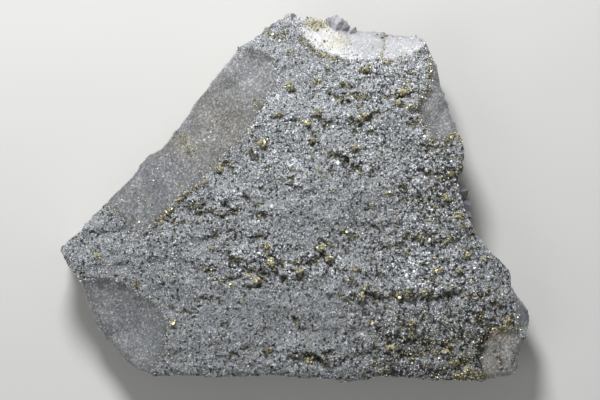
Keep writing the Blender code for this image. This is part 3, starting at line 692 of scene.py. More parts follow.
def zone_of(points):
    """The place in ZONES of the zone that each point lies in, seen from above, or -1 on the crust."""
    moved = wrinkled(points, 0.45, 3.0, layer=61)
    found = np.full(len(points), -1)
    for index, zone in enumerate(ZONES.values()):
        found[inside(moved, zone.crease + zone.beyond)] = index
    return found


def in_zone(zones, name):
    return zones == ZONE_NAMES.index(name)


def from_crease(points, name):
    """How far each point is from the line where a zone meets the crust."""
    return distance_to_line(points, ZONES[name].crease)[0]


# ---------------------------------------------------------------- meshes and pieces


def read_rows(items, field):
    """A field of three numbers for each item, as rows."""
    values = np.empty(len(items) * 3, np.float32)
    items.foreach_get(field, values)
    return values.reshape(-1, 3).astype(float)


def read_points(mesh):
    return read_rows(mesh.vertices, "co") / MM


def read_normals(mesh):
    return read_rows(mesh.vertex_normals, "vector")


def write_points(mesh, places):
    mesh.vertices.foreach_set("co", (places * MM).astype(np.float32).ravel())
    mesh.update()


def write_attribute(mesh, name, kind, domain, values):
    """A number or a colour for each point or face, for the material to read."""
    attribute = mesh.attributes.new(name, kind, domain)
    field = "value" if kind == "FLOAT" else "color"
    if kind != "FLOAT":
        values = np.column_stack([values, np.ones(len(values))])
    attribute.data.foreach_set(field, np.asarray(values, np.float32).ravel())


def put_in_scene(name, data):
    thing = bpy.data.objects.new(name, data)
    bpy.context.scene.collection.objects.link(thing)
    return thing


def as_mesh(name, shape):
    """Makes a mesh of a bmesh, and frees the bmesh."""
    mesh = bpy.data.meshes.new(name)
    shape.to_mesh(mesh)
    shape.free()
    return mesh


def with_modifier(mesh, kind, only=None, **settings):
    """The mesh that one modifier makes of the given mesh, or of only some of its points."""
    thing = put_in_scene("worked", mesh)
    if only is not None:
        thing.vertex_groups.new(name="only").add(only.tolist(), 1.0, "REPLACE")
        settings["vertex_group"] = "only"
    modifier = thing.modifiers.new(kind.lower(), kind)
    for setting, value in settings.items():
        setattr(modifier, setting, value)
    graph = bpy.context.evaluated_depsgraph_get()
    changed = bpy.data.meshes.new_from_object(thing.evaluated_get(graph))
    bpy.data.objects.remove(thing)
    return changed


def merged_copy(node):
    """A CAD node's mesh with its loose triangles merged."""
    shape = bmesh.new()
    shape.from_mesh(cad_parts[node].data)
    bmesh.ops.remove_doubles(shape, verts=shape.verts, dist=1e-6)
    return as_mesh(node + "_copy", shape)


def add_piece(name, mesh, material, smooth):
    """Puts a finished mesh in the scene as a piece that rides on the plate."""
    if not len(mesh.polygons):
        raise RuntimeError(f"{name} has no faces")
    mesh.name = name
    mesh.materials.clear()
    mesh.materials.append(material)
    mesh.polygons.foreach_set("use_smooth", np.full(len(mesh.polygons), smooth))
    piece = put_in_scene(name, mesh)
    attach(piece, "root")
    return piece


def body_mesh():
    if BODY not in bpy.data.objects:
        raise RuntimeError("the plate has to be made first")
    return bpy.data.objects[BODY].data


class Prototype(NamedTuple):
    """A small closed shape, as arrays of points and triangles, of which many copies are made."""

    points: np.ndarray
    faces: np.ndarray


def prototype(shape):
    """Takes a small bmesh over as arrays."""
    bmesh.ops.recalc_face_normals(shape, faces=shape.faces)
    bmesh.ops.triangulate(shape, faces=shape.faces)
    points = np.array([v.co[:] for v in shape.verts])
    faces = np.array([[v.index for v in face.verts] for face in shape.faces])
    shape.free()
    return Prototype(points, faces)


def frames_along(directions, turns):
    """For each direction, a right-handed frame whose third axis is that direction, turned about it."""
    helper = np.where(np.abs(directions[:, 2:]) < 0.9, (0.0, 0.0, 1.0), (1.0, 0.0, 0.0))
    first = np.cross(helper, directions)
    first /= np.linalg.norm(first, axis=1)[:, None]
    second = np.cross(directions, first)
    cosine, sine = np.cos(turns)[:, None], np.sin(turns)[:, None]
    return np.stack([cosine * first + sine * second, cosine * second - sine * first, directions], axis=1)


def copies(kinds, choice, places, scales, frames, tints):
    """One mesh of many turned and stretched copies, with a tint for the material on each copy."""
    all_points, all_faces, all_tints, count = [], [], [], 0
    for index, kind in enumerate(kinds):
        mine = choice == index
        stretched = kind.points[None] * scales[mine][:, None]
        points = np.einsum("nvk,nkj->nvj", stretched, frames[mine]) + places[mine][:, None]
        starts = count + np.arange(mine.sum())[:, None, None] * len(kind.points)
        all_points.append(points.reshape(-1, 3))
        all_faces.append((kind.faces[None] + starts).reshape(-1, 3))
        all_tints.append(np.repeat(tints[mine], len(kind.faces), axis=0))
        count += points.shape[0] * points.shape[1]
    mesh = bpy.data.meshes.new("copies")
    mesh.from_pydata(np.concatenate(all_points) * MM, [], np.concatenate(all_faces))
    write_attribute(mesh, "tint", "FLOAT_COLOR", "FACE", np.concatenate(all_tints))
    return mesh


def spread(points, gap):
    """The indices of points that keep a least distance to each other, earlier ones first."""
    tree = kdtree.KDTree(len(points))
    for index, point in enumerate(points):
        tree.insert(point, index)
    tree.balance()
    gone = np.zeros(len(points), bool)
    kept = []
    for index, point in enumerate(points):
        if gone[index]:
            continue
        kept.append(index)
        for _, near, _ in tree.find_range(point, gap):
            gone[near] = True
    return np.array(kept)


class Ground(NamedTuple):
    """Places picked at random on the plate's surface, in millimetres, and what is known of each one."""

    places: np.ndarray
    facing: np.ndarray
    zones: np.ndarray
    brass: np.ndarray

    def where(self, chosen):
        return Ground(*(values[chosen] for values in self))

    def thinned(self, likely, gap, random):
        """Draws which places stay, each as likely as given, and leaves a gap in metres between them."""
        kept = self.where(random.random(len(likely)) < likely)
        return kept.where(spread(kept.places, gap / MM))


def read_attribute(mesh, name):
    values = np.empty(len(mesh.vertices), np.float32)
    mesh.attributes[name].data.foreach_get("value", values)
    return values


def pick_ground(mesh, count, random):
    """Random places on the top of the plate, spread evenly over its area."""
    mesh.calc_loop_triangles()
    corners = np.empty(len(mesh.loop_triangles) * 3, np.int32)
    mesh.loop_triangles.foreach_get("vertices", corners)
    corners = corners.reshape(-1, 3)
    points, normals = read_points(mesh), read_normals(mesh)
    a, b, c = (points[corners[:, i]] for i in range(3))
    areas = np.linalg.norm(np.cross(b - a, c - a), axis=1) / 2
    areas[(a[:, 2] < LOWEST_TOP) | (normals[corners[:, 0], 2] < 0.1)] = 0
    chosen = corners[random.choice(len(corners), size=count, p=areas / areas.sum())]
    share = random.random((count, 2))
    share = np.where(share.sum(axis=1)[:, None] > 1, 1 - share, share)
    weights = np.column_stack([1 - share.sum(axis=1), share])
    places = (points[chosen] * weights[:, :, None]).sum(axis=1)
    facing = (normals[chosen] * weights[:, :, None]).sum(axis=1)
    facing /= np.linalg.norm(facing, axis=1)[:, None]
    first = chosen[:, 0]
    return Ground(places, facing, read_attribute(mesh, "zone")[first], read_attribute(mesh, "brass")[first])


# ---------------------------------------------------------------- finishes


class Finish:
    """A material, with the few calls that wire its nodes."""

    def __init__(self, name, **uniform):
        self.material = bpy.data.materials.new(name)
        self.material.use_nodes = True
        tree = self.material.node_tree
        self.nodes, self.links = tree.nodes, tree.links
        self.shader = self.nodes["Principled BSDF"]
        for socket, value in uniform.items():
            self.shader.inputs[socket.replace("_", " ")].default_value = value

    def add(self, kind, sources, **settings):
        """A new node, its inputs fed by sockets or set to plain values."""
        node = self.nodes.new("ShaderNode" + kind)
        for name, value in settings.items():
            setattr(node, name, value)
        for name, source in sources.items():
            if isinstance(source, bpy.types.NodeSocket):
                self.links.new(source, node.inputs[name])
            else:
                node.inputs[name].default_value = source
        return node

    def places(self):
        return self.add("TexCoord", {}).outputs["Object"]

    def attribute(self, name, output="Fac"):
        return self.add("Attribute", {}, attribute_name=name).outputs[output]

    def noise(self, size, detail=3.0, roughness=0.55):
        """Noise from 0 to 1 whose largest swell is the given size in metres."""
        sources = {"Vector": self.places(), "Scale": 1 / size, "Detail": detail, "Roughness": roughness}
        return self.add("TexNoise", sources).outputs["Fac"]

    def cells(self, size):
        """A random colour for each small cell of the given size in metres."""
        sources = {"Vector": self.places(), "Scale": 1 / size}
        return self.add("TexVoronoi", sources, feature="F1").outputs["Color"]

    def ramp(self, source, *stops):
        """Maps 0 to 1 on the values of the stops, each one a place and a value."""
        node = self.add("ValToRGB", {"Fac": source})
        points = node.color_ramp.elements
        while len(points) < len(stops):
            points.new(0.5)
        for point, (place, value) in zip(points, stops):
            point.position = place
            point.color = (*value, 1) if isinstance(value, tuple) else (value, value, value, 1)
        return node.outputs["Color"]

    def mix(self, share, a, b, blend="MIX"):
        sources = {0: share, 6: a, 7: b}
        return self.add("Mix", sources, data_type="RGBA", blend_type=blend).outputs[2]

    def tinted(self, *layers):
        """The tint that comes with the mesh, multiplied by each layer in turn."""
        tint = self.attribute("tint", "Color")
        for layer in layers:
            tint = self.mix(1.0, tint, layer, "MULTIPLY")
        return tint

    def facets(self, size, strength):
        """The surface's normal, tipped at random in each small cell, as a sugary break sparkles."""
        centred = self.add("VectorMath", {0: self.cells(size), 1: (0.5, 0.5, 0.5)}, operation="SUBTRACT")
        scaled = self.add("VectorMath", {0: centred.outputs[0], "Scale": strength}, operation="SCALE")
        normal = self.add("NewGeometry", {}).outputs["Normal"]
        tipped = self.add("VectorMath", {0: normal, 1: scaled.outputs[0]}, operation="ADD")
        return self.add("VectorMath", {0: tipped.outputs[0]}, operation="NORMALIZE").outputs[0]

    def feed(self, **sockets):
        for name, source in sockets.items():
            self.links.new(source, self.shader.inputs[name.replace("_", " ")])
        return self.material


def broken_quartz_finish():
    """Sugary broken quartz: the tint comes with the mesh, the grain and the sparkle are here."""
    finish = Finish("broken_quartz", IOR=QUARTZ_IOR)
    grain = finish.ramp(finish.noise(0.0012, 4.0, 0.75), (0.25, 0.8), (0.75, 1.18))
    cloud = finish.ramp(finish.noise(0.006, 4.0), (0.3, 0.84), (0.7, 1.14))
    speckle = finish.ramp(finish.cells(0.0004), (0.1, 0.7), (0.5, 0.96), (0.68, 1.1), (0.84, 1.9))
    speckle = finish.mix(finish.attribute("calm"), speckle, (1.0, 1.0, 1.0, 1.0))
    tint = finish.tinted(grain, cloud, speckle)
    gloss = finish.ramp(finish.cells(0.0006), (0.0, 0.55), (0.7, 0.5), (0.95, 0.18))
    return finish.feed(Base_Color=tint, Roughness=gloss, Normal=finish.facets(0.0005, 0.45))


def druse_finish():
    """Clear to milky crystals, each with a tint of its own."""
    finish = Finish("druse_crystals", IOR=QUARTZ_IOR, Roughness=0.35)
    veil = finish.ramp(finish.noise(0.0009, 2.0), (0.3, 0.88), (0.7, 1.1))
    return finish.feed(Base_Color=finish.tinted(veil))


def chalcopyrite_finish():
    """Brass-yellow metal, duller and browner on some grains and in patches of each."""
    finish = Finish("chalcopyrite", Metallic=0.4, Roughness=0.4)
    patch = finish.ramp(finish.noise(0.0004, 3.0), (0.35, 0.72), (0.75, 1.12))
    return finish.feed(Base_Color=finish.tinted(patch))


def glassy_finish():
    """Clear quartz with a breath of lilac and a milky veil inside."""
    finish = Finish("glassy_quartz", IOR=QUARTZ_IOR, Roughness=0.22, Transmission_Weight=0.35)
    veil = finish.ramp(finish.noise(0.0012, 4.0, 0.7), (0.32, 0.62), (0.68, 1.35))
    return finish.feed(Base_Color=finish.tinted(veil))


def floor_finish(colour):
    finish = Finish("floor_board", Roughness=0.75)
    mottle = finish.ramp(finish.noise(0.12, 3.0), (0.3, 0.985), (0.7, 1.01))
    return finish.feed(Base_Color=finish.mix(1.0, (*colour, 1), mottle, "MULTIPLY"))


# ---------------------------------------------------------------- the plate


def on_top(places, facing):
    """From 0 on the sides and the back to 1 on the top of the plate."""
    return smooth_step((facing[:, 2] - 0.2) / 0.3) * (places[:, 2] > LOWEST_TOP)


def crust_relief(places):
    """The crust's flakes, lumps, pits, ledges, crannies and knobs, in millimetres."""
    flat = places[:, :2]
    zones = zone_of(flat)
    brass = brassiness(flat, zones)
    depth, lip = crannies(flat)
    rugged = (0.6 + 0.55 * ruggedness(flat)) * (1 - 0.25 * calmness(flat))
    height = 0.2 * rough(places, 4.2, layer=1) + 0.25 * rugged * rough(places, 1.7, layer=2)
    for lift, size, layer in ((0.42 * rugged, 6.0, 31), (0.42 * rugged, 2.6, 37)):
        steps, dips = flakes(flat, size, layer)
        height += lift * (steps - 0.7 * dips)
    nubs = rough(places, 1.1, layer=8, octaves=2)
    height += brass * (0.1 + 0.4 * nubs)
    for name in CRESTED:
        height += 0.4 * fading(from_crease(flat, name), 1.1)
    height += ledge_relief(flat) - 1.15 * depth + 0.4 * lip + 0.55 * knob(flat)
    height -= bpy.context.scene.quartz_plate.sink / MM
    sugar = 0.09 * rough(places, 1.3, layer=4) + 0.10 * rough(places, 6.0, layer=5, octaves=2)
    sugar += 0.25 * brass * nubs - 0.9 * depth
    return np.where(zones < 0, height, sugar)


def shape_body(places, facing):
    """Adds the relief that is finer than the solid's own to the plate's surface."""
    top = on_top(places, facing)
    moved = np.zeros(len(places))
    above, beside = top > 0, top < 1
    on_crust = above & (zone_of(places[:, :2]) < 0)
    inward = smooth_step((72 - np.abs(places[:, 0])) / 6)[on_crust, None] * top[on_crust, None]
    shifted = wrinkled(places[on_crust], 0.45, 2.6, layer=81) - places[on_crust, :2]
    places[on_crust, :2] += inward * shifted
    moved[above] = top[above] * crust_relief(places[above])
    chunks = 0.42 * rough(places[beside], 5.5, layer=6) + 0.2 * rough(places[beside], 1.6, layer=7)
    moved[beside] += (1 - top[beside]) * chunks
    places = places + facing * moved[:, None]
    for point in GLASSY_POINTS:
        places = shrunk_into(point, places)
    places[:, 2] = np.maximum(places[:, 2], 0)
    return places


def shrunk_into(point, places):
    """Draws the solid's own crystal in towards its axis, so that it is a core inside the glassy one."""
    axis = np.array(point.lean) / np.linalg.norm(point.lean)
    from_tip = np.array([point.x, point.y, point.z]) - places
    along = from_tip @ axis
    outward = along[:, None] * axis - from_tip
    reach = 0.7 * point.length
    within = (np.linalg.norm(outward, axis=1) < 1.2 * point.radius) & (along > -0.6) & (along < reach)
    share = smooth_step(1 - along / reach) * within
    return places - share[:, None] * (0.35 * outward + 0.3 * point.radius * axis)


def plain(colour, count):
    """The same colour for each of so many places."""
    return np.tile(np.array(colour), (count, 1))


def mixed(colours, share, other):
    """Each colour, moved by its share towards another."""
    return colours + np.clip(share, 0, 1)[:, None] * (np.array(other) - colours)


def wall_tint(places, settings):
    """The broken sides in layers: comb quartz under the crust, milky quartz, then stained rock."""
    height = places[:, 2] + 2.2 * rough(places, 11.0, layer=14)
    tint = plain(settings.wall, len(places))
    tint = mixed(tint, smooth_step((height - 12) / 3), settings.milky)
    tint = mixed(tint, smooth_step((height - 21) / 2), settings.comb)
    rust = smooth_step((rough(places, 12.0, layer=13) - 0.12) / 0.5) * 0.5
    tint = mixed(tint, rust * smooth_step((20 - height) / 6), settings.stain)
    return tint * (1 + 0.2 * rough(places, 7.0, layer=12))[:, None]


def milky_tint(flat, settings):
    """The milky patch: whitest at its left, bluer in the middle, lilac along the rim, with a yellow stain."""
    x, y = flat.T
    tint = plain(ZONES["milky_top"].colour, len(flat))
    tint = mixed(tint, smooth_step(0.45 + 0.8 * rough(flat, 5.0, layer=41)), CLOUD_BLUE)
    tint = mixed(tint, 0.7 * smooth_step((x - 17) / 4), DULL_GREY)
    tint = mixed(tint, smooth_step((9 - np.abs(x - 9)) / 6), MILK_WHITE)
    stain = spot(flat, 14.7, 50.2, 2.8) * smooth_step(0.6 + rough(flat, 1.2, layer=43))
    tint = mixed(tint, stain, PALE_YELLOW)
    tint = mixed(tint, 0.85 * oval(flat, 7.2, 55.2, 4.4, 1.7), ORE_TAN)
    rim_line = 51.6 - 0.10 * (x - 12) + 0.9 * rough(flat, 3.0, layer=45)
    rim = smooth_step((y - rim_line) / 1.8) * smooth_step((x - 10) / 3)
    return mixed(tint, 0.85 * rim, settings.lilac)


def body_tint(places, facing, zones, brass):
    """The plate's colour at each point, with painted shade in the crannies, the small gaps, along the creases
    and under the crust's edge on the low left break.
    """
    settings = bpy.context.scene.quartz_plate
    flat = places[:, :2]
    above = plain(settings.shaded_crust_floor, len(places))
    for index, zone in enumerate(ZONES.values()):
        above[zones == index] = zone.colour
    left = in_zone(zones, "long_left")
    above[left] *= (1 + 0.55 * smooth_step((flat[:, 1] - 26) / 16))[left, None]
    wavy = wrinkled(flat, 1.4, 3.5, layer=49)
    for x, y, radius, factor in PATCHES:
        share = spot(wavy, x, y, radius) * (zones >= 0)
        above *= 1 + share[:, None] * (np.array(factor) - 1)
    # Painted shadow: a dark band on the low left break under the crust's edge
    painted_shadow_band = fading(from_crease(wrinkled(flat, 0.8, 2.0, layer=47), "low_left"), 1.8)
    painted_shadow_band *= smooth_step((flat[:, 0] + 60) / 6) * in_zone(zones, "low_left")
    above *= (1 - 0.4 * painted_shadow_band)[:, None]
    milky = in_zone(zones, "milky_top")
    above[milky] = milky_tint(flat[milky], settings)
    # Painted shade on the breaks along the crests' creases
    for name in CRESTED:
        crease_shade = fading(from_crease(flat, name), 1.0) * (zones >= 0)
        above *= (1 - 0.35 * crease_shade)[:, None]
    # Painted shade in the crannies and, on the crust, in the small gaps between the crystals
    painted_shade = np.maximum(0.68 * crannies(flat)[0], np.where(zones < 0, 0.95 * gap_shade(flat), 0))
    above *= 1 - painted_shade[:, None]
    # Towards the ore floor's dark brown where chalcopyrite grows: partly the ground's own colour, partly
    # painted shade between the grains
    above = mixed(above, smooth_step(1.5 * brass) * np.where(zones < 0, 1.0, 0.55), settings.ore_floor_and_shade)
    sides = wall_tint(places, settings)
    return sides + on_top(places, facing)[:, None] * (above - sides)


def make_body():
    settings = bpy.context.scene.quartz_plate
    mesh = with_modifier(merged_copy(PLATE_NODE), "REMESH", mode="VOXEL", voxel_size=settings.grain)
    mesh = with_modifier(mesh, "SMOOTH", factor=0.5, iterations=5)
    write_points(mesh, shape_body(read_points(mesh), read_normals(mesh)))
    below = np.flatnonzero(on_top(read_points(mesh), read_normals(mesh)) < 0.05)
    mesh = with_modifier(mesh, "DECIMATE", only=below, ratio=settings.kept)
    places, facing = read_points(mesh), read_normals(mesh)
    places[:, 2] = np.maximum(places[:, 2], 0)
    write_points(mesh, places)
    zones = zone_of(places[:, :2])
    brass = brassiness(places[:, :2], zones)
    write_attribute(mesh, "tint", "FLOAT_COLOR", "POINT", body_tint(places, facing, zones, brass))
    write_attribute(mesh, "calm", "FLOAT", "POINT", 0.75 * in_zone(zones, "milky_top"))
    write_attribute(mesh, "zone", "FLOAT", "POINT", zones)
    write_attribute(mesh, "brass", "FLOAT", "POINT", brass)
    piece = add_piece(BODY, mesh, broken_quartz_finish(), smooth=True)
    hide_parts(PLATE_NODE)


class MakePlate(bpy.types.Operator):
    """Make the plate's broken quartz, under and around the crust"""

    bl_idname = "mineral.make_plate"
    bl_label = "Plate"

    def execute(self, context):
        make_body()
        return {"FINISHED"}


# ---------------------------------------------------------------- the crust of crystals


# How far up the prism's axis each of the six end faces cuts, for three unlike crystals
HABITS = ((2.2, 2.5, 2.2, 2.6, 2.2, 2.5), (2.1, 2.3, 2.6, 2.2, 2.3, 2.5), (2.0, 2.6, 2.1, 2.5, 2.3, 2.3))


def crystal_point(sides, lean):
    """A pyramid one unit in radius, its tip pushed off the middle."""
    shape = bmesh.new()
    bmesh.ops.create_cone(shape, segments=sides, radius1=1, radius2=0.001, depth=1, cap_ends=True)
    bmesh.ops.remove_doubles(shape, verts=shape.verts, dist=0.01)
    bmesh.ops.translate(shape, vec=(0, 0, 0.5), verts=shape.verts)
    tip = max(shape.verts, key=lambda v: v.co.z)
    tip.co += Vector(lean)
    return prototype(shape)


def quartz_habit(depths, shaft=3):
    """A six-sided prism whose end is cut by six faces at quartz's own slope, each at its own depth."""
    shape = bmesh.new()
    bmesh.ops.create_cone(shape, segments=6, radius1=1, radius2=1, depth=shaft, cap_ends=True)
    bmesh.ops.translate(shape, vec=(0, 0, 3 - shaft / 2), verts=shape.verts)
    level, rise = math.sin(QUARTZ_SLOPE), math.cos(QUARTZ_SLOPE)
    for index, depth in enumerate(depths):
        turn = math.radians(60 * index + 30)
        outward = Vector((math.cos(turn) * level, math.sin(turn) * level, rise))
        everything = list(shape.verts) + list(shape.edges) + list(shape.faces)
        cut = bmesh.ops.bisect_plane(
            shape, geom=everything, plane_co=Vector((0, 0, depth)), plane_no=outward, clear_outer=True
        )
        rim = [part for part in cut["geom_cut"] if isinstance(part, bmesh.types.BMEdge)]
        if rim:
            bmesh.ops.edgenet_fill(shape, edges=rim)
    bmesh.ops.translate(shape, vec=(0, 0, -0.9), verts=shape.verts)
    return shape


def lean_at_random(facing, tilt, random):
    wobble = random.normal(size=facing.shape)
    wobble /= np.linalg.norm(wobble, axis=1)[:, None]
    leaned = facing + tilt * wobble * random.random((len(facing), 1)) ** 0.5
    return leaned / np.linalg.norm(leaned, axis=1)[:, None]


def broad_tone(flat):
    """How much lighter or darker the crust is in each broad part of the plate, with painted light where the
    ledges' shadows fall at its right.
    """
    x, y = flat.T
    at_right = smooth_step((x - 22) / 14) * smooth_step((30 - y) / 8)
    lighter = (0.38 - 0.12 * calmness(flat)) * smooth_step((y + 8) / 30) * (1 - 0.75 * at_right)
    tone = 1.1 + lighter - 0.2 * smooth_step((-24 - y) / 12)
    # Painted light around (44, -27), against the shadows that the ledges cast there
    tone += 0.34 * oval(flat, 44, -27, 16, 10)
    tone += 0.07 * smooth_step((-54 - x) / 6) + 0.03 * smooth_step((x - 10) / 20)
    moved = wrinkled(flat, 1.0, 2.5, layer=59)
    for patch_x, patch_y, radius, factor in CRUST_PATCHES:
        tone *= 1 + (factor - 1) * spot(moved, patch_x, patch_y, radius)
    return tone


def crystal_tints(ground, random):
    """A tint for each crystal: mostly blue-grey, some dark, olive among the ore, white by the milky patch,
    with painted shade in crannies, small gaps and flake seams, and painted light on the higher flakes.
    """
    settings = bpy.context.scene.quartz_druse
    flat = ground.places[:, :2]
    count = len(flat)
    share = ore_share(flat)
    tints = plain(settings.colour, count)
    whitened = np.exp(-from_crease(flat, "milky_top") / 2.6) * random.uniform(0.5, 1.1, count)
    tints = mixed(tints, np.where(ground.zones < 0, whitened, 0.9), settings.milky)
    to_rim, _ = distance_to_line(flat, PALE_RIM)
    tints = mixed(tints, 0.8 * fading(to_rim, 2.0) * random.random(count), PALE_LILAC)
    tints = mixed(tints, np.maximum(0.9 * ground.brass, 0.2 * share) * random.random(count), settings.stained)
    calm = calmness(flat)
    tone = np.exp(random.normal(0.03, 0.23 - 0.1 * calm + 0.1 * share))
    tone = np.where(random.random(count) < 0.05 - 0.035 * calm, random.uniform(1.25, 1.65, count), tone)
    dark = random.random(count) < 0.1 - 0.06 * calm + 0.3 * share + 0.4 * ground.brass
    tone = np.where(dark, random.uniform(0.03, 0.36, count), tone)
    # Painted shade in the crannies and the small gaps
    painted_shade = np.maximum(crannies(flat)[0] * random.uniform(0.2, 1.15, count), gap_shade(flat))
    tone *= (1 - np.minimum(painted_shade, 0.95)) * (1 + 0.4 * knob(flat)) * (1 + 0.27 * share)
    # Painted light on the higher flakes and painted shade in the seams where they meet
    steps, dips = flakes(flat, 2.6, layer=37)
    seam_shade = (0.2 + 0.4 * ruggedness(flat)) * (1 - 0.4 * calm)
    tone *= (1 + (0.14 - 0.05 * calm) * steps) * (1 - seam_shade * dips * random.uniform(0.3, 1.2, count))
    return tints * (tone * broad_tone(flat))[:, None]


def grow(ground, kinds, random, radius, tilt, tints, name, pieces, finish, stretch=0.62):
    """Stands crystals on the ground, and joins them in a few pieces from left to right."""
    count = len(ground.places)
    choice = random.integers(0, len(kinds), count)
    directions = lean_at_random(ground.facing, tilt, random)
    frames = frames_along(directions, random.random(count) * math.tau)
    size = radius * np.exp(random.normal(0, 0.25, count)) * (1 + 0.3 * ruggedness(ground.places[:, :2]))
    height = stretch * size * np.exp(random.normal(0, 0.2, count))
    scales = np.column_stack([size * random.uniform(0.85, 1.15, count), size, height])
    sunk = ground.places - directions * (0.22 * size)[:, None]
    order = np.argsort(ground.places[:, 0])
    for index, mine in enumerate(np.array_split(order, pieces)):
        mesh = copies(kinds, choice[mine], sunk[mine], scales[mine], frames[mine], tints[mine])
        add_piece(f"{name}_{index + 1}", mesh, finish, smooth=False)


def make_druse():
    settings = bpy.context.scene.quartz_druse
    random = np.random.default_rng(SEED)
    ground = pick_ground(body_mesh(), DRUSE_PLACES, random)
    edge = np.min([from_crease(ground.places[:, :2], name) for name in ZONES], axis=0)
    milky = in_zone(ground.zones, "milky_top")
    strays = np.where(milky, 0.4 * np.exp(-edge / 1.4), 0.35 * np.exp(-edge / 0.5))
    likely = np.where(ground.zones < 0, 1 - 0.6 * ground.brass, strays)
    ground = ground.thinned(likely, settings.gap, random)
    missing = 0.8 * crannies(ground.places[:, :2])[0] ** 3
    ground = ground.where(random.random(len(missing)) > missing)
    points = [
        crystal_point(3, (0.1, 0.0, 0.0)), crystal_point(3, (-0.2, 0.2, 0.1)),
        crystal_point(3, (0.0, -0.3, 0.0)), crystal_point(4, (0.2, -0.1, 0.0)),
        crystal_point(4, (0.15, 0.2, 0.1)), crystal_point(5, (0.0, 0.1, 0.1)),
    ]
    habits = [prototype(quartz_habit(depths)) for depths in HABITS]
    coarse = 0.8 + smooth_step((ground.places[:, 0] - 20) / 20)
    big = random.random(len(ground.places)) < coarse * settings.large_share
    tints = crystal_tints(ground, random)
    radius = settings.radius / MM
    finish = druse_finish()
    grow(
        ground.where(~big), points, random, radius, settings.tilt, tints[~big],
        "druse", settings.pieces, finish,
    )
    grow(
        ground.where(big), habits, random, 1.25 * radius, settings.tilt, tints[big],
        "druse_prisms", 1, finish, stretch=0.7,
    )


class MakeDruse(bpy.types.Operator):
    """Grow the crust of small quartz crystals on the plate"""

    bl_idname = "mineral.make_druse"
    bl_label = "Druse"

    def execute(self, context):
        make_druse()
        return {"FINISHED"}


# ---------------------------------------------------------------- sugar on the breaks


def make_sugar():
    """Low bright splinters on the breaks, each in a tone near that of the face below it."""
    settings = bpy.context.scene.quartz_druse
    random = np.random.default_rng(SEED + 3)
    ground = pick_ground(body_mesh(), SUGAR_PLACES, random)
    ground = ground.thinned(0.5 * (ground.zones >= 0), settings.sugar_gap, random)
    count = len(ground.places)
    colours = np.array([zone.colour for zone in ZONES.values()])
    tints = colours[ground.zones.astype(int)] * np.exp(random.normal(0.05, 0.27, count))[:, None]
    milky = in_zone(ground.zones, "milky_top")
    tints[milky] = 0.8 * tints[milky] ** 0.4
    bright = random.random(count) < 0.13
    tints[bright] = mixed(tints[bright], np.full(bright.sum(), 0.75), settings.milky)
    leans = ((0.5, 0.0, -0.4), (-0.4, 0.3, -0.5), (0.2, -0.5, -0.4))
    splinters = [crystal_point(sides, lean) for sides, lean in zip((3, 4, 5), leans)]
    radius = 0.9 * settings.radius / MM
    grow(ground, splinters, random, radius, 0.4, tints, "sugar", 1, druse_finish(), stretch=0.55)


class MakeSugar(bpy.types.Operator):
    """Strew low quartz splinters over the breaks"""

    bl_idname = "mineral.make_sugar"
    bl_label = "Sugar on the breaks"

    def execute(self, context):
        make_sugar()
        return {"FINISHED"}


# ---------------------------------------------------------------- glassy points


def glassy_crystal(tip, lean, radius, length, habit):
    """One crystal with a cut end, its tip at the given place, as an object's mesh."""
    shape = quartz_habit(habit, shaft=length / radius)
    top = max(v.co.z for v in shape.verts)
    bmesh.ops.translate(shape, vec=(0, 0, -top), verts=shape.verts)
    bmesh.ops.recalc_face_normals(shape, faces=shape.faces)
    turned = lean.to_track_quat("Z", "Y").to_matrix().to_4x4()
    place = Matrix.Translation(tip) @ turned @ Matrix.Scale(radius, 4)
    bmesh.ops.transform(shape, matrix=place, verts=shape.verts)
    return as_mesh("crystal", shape)


def glassy_group(point, random):
    """A crystal a little larger than the solid's own, and two smaller ones grown against it."""
    lean = Vector(point.lean).normalized()
    radius = point.radius * point.grown * MM
    tip = Vector((point.x, point.y, point.z)) * MM + lean * 0.75 * (radius - point.radius * MM)
    habits = [HABITS[index] for index in random.integers(0, len(HABITS), 3)]
    yield glassy_crystal(tip, lean, radius, point.length * MM, habits[0])
    aside = lean.cross(Vector((0, 0, 1))).normalized()
    for sign, habit in zip((-1, 1), habits[1:]):
        share = random.uniform(0.45, 0.65)
        moved = tip + aside * sign * 0.75 * radius - lean * random.uniform(0.5, 1.0) * radius
        leaned = (lean + 0.25 * sign * aside).normalized()
        yield glassy_crystal(moved, leaned, share * radius, 0.8 * point.length * MM, habit)


def make_glassy_points():
    settings = bpy.context.scene.quartz_glassy
    random = np.random.default_rng(SEED + 5)
    shape = bmesh.new()
    for point in GLASSY_POINTS:
        for mesh in glassy_group(point, random):
            shape.from_mesh(mesh)
            bpy.data.meshes.remove(mesh)
    bmesh.ops.bevel(
        shape, geom=shape.edges, offset=settings.edge, segments=1, profile=0.5, affect="EDGES", material=-1
    )
    mesh = as_mesh("glassy", shape)
    tone = random.uniform(0.55, 1.25, (len(mesh.polygons), 1))
    at_right = np.array([face.center.x > 0.05 for face in mesh.polygons])[:, None]
    tints = tone * np.where(at_right, settings.smoky, settings.clear)
    write_attribute(mesh, "tint", "FLOAT_COLOR", "FACE", tints)
    add_piece("glassy_points", mesh, glassy_finish(), smooth=False)


class MakeGlassyPoints(bpy.types.Operator):
    """Make the glassy quartz points at the plate's edge"""

    bl_idname = "mineral.make_glassy_points"
    bl_label = "Glassy points"

    def execute(self, context):
        make_glassy_points()
        return {"FINISHED"}


# ---------------------------------------------------------------- chalcopyrite


def grain_shape(sides, waist, squash):
    """A stubby faceted grain about one unit in radius."""
    shape = bmesh.new()
    bmesh.ops.create_cone(shape, segments=sides, radius1=1, radius2=waist, depth=1.3, cap_ends=True)
    bmesh.ops.scale(shape, vec=squash, verts=shape.verts)
    return prototype(shape)


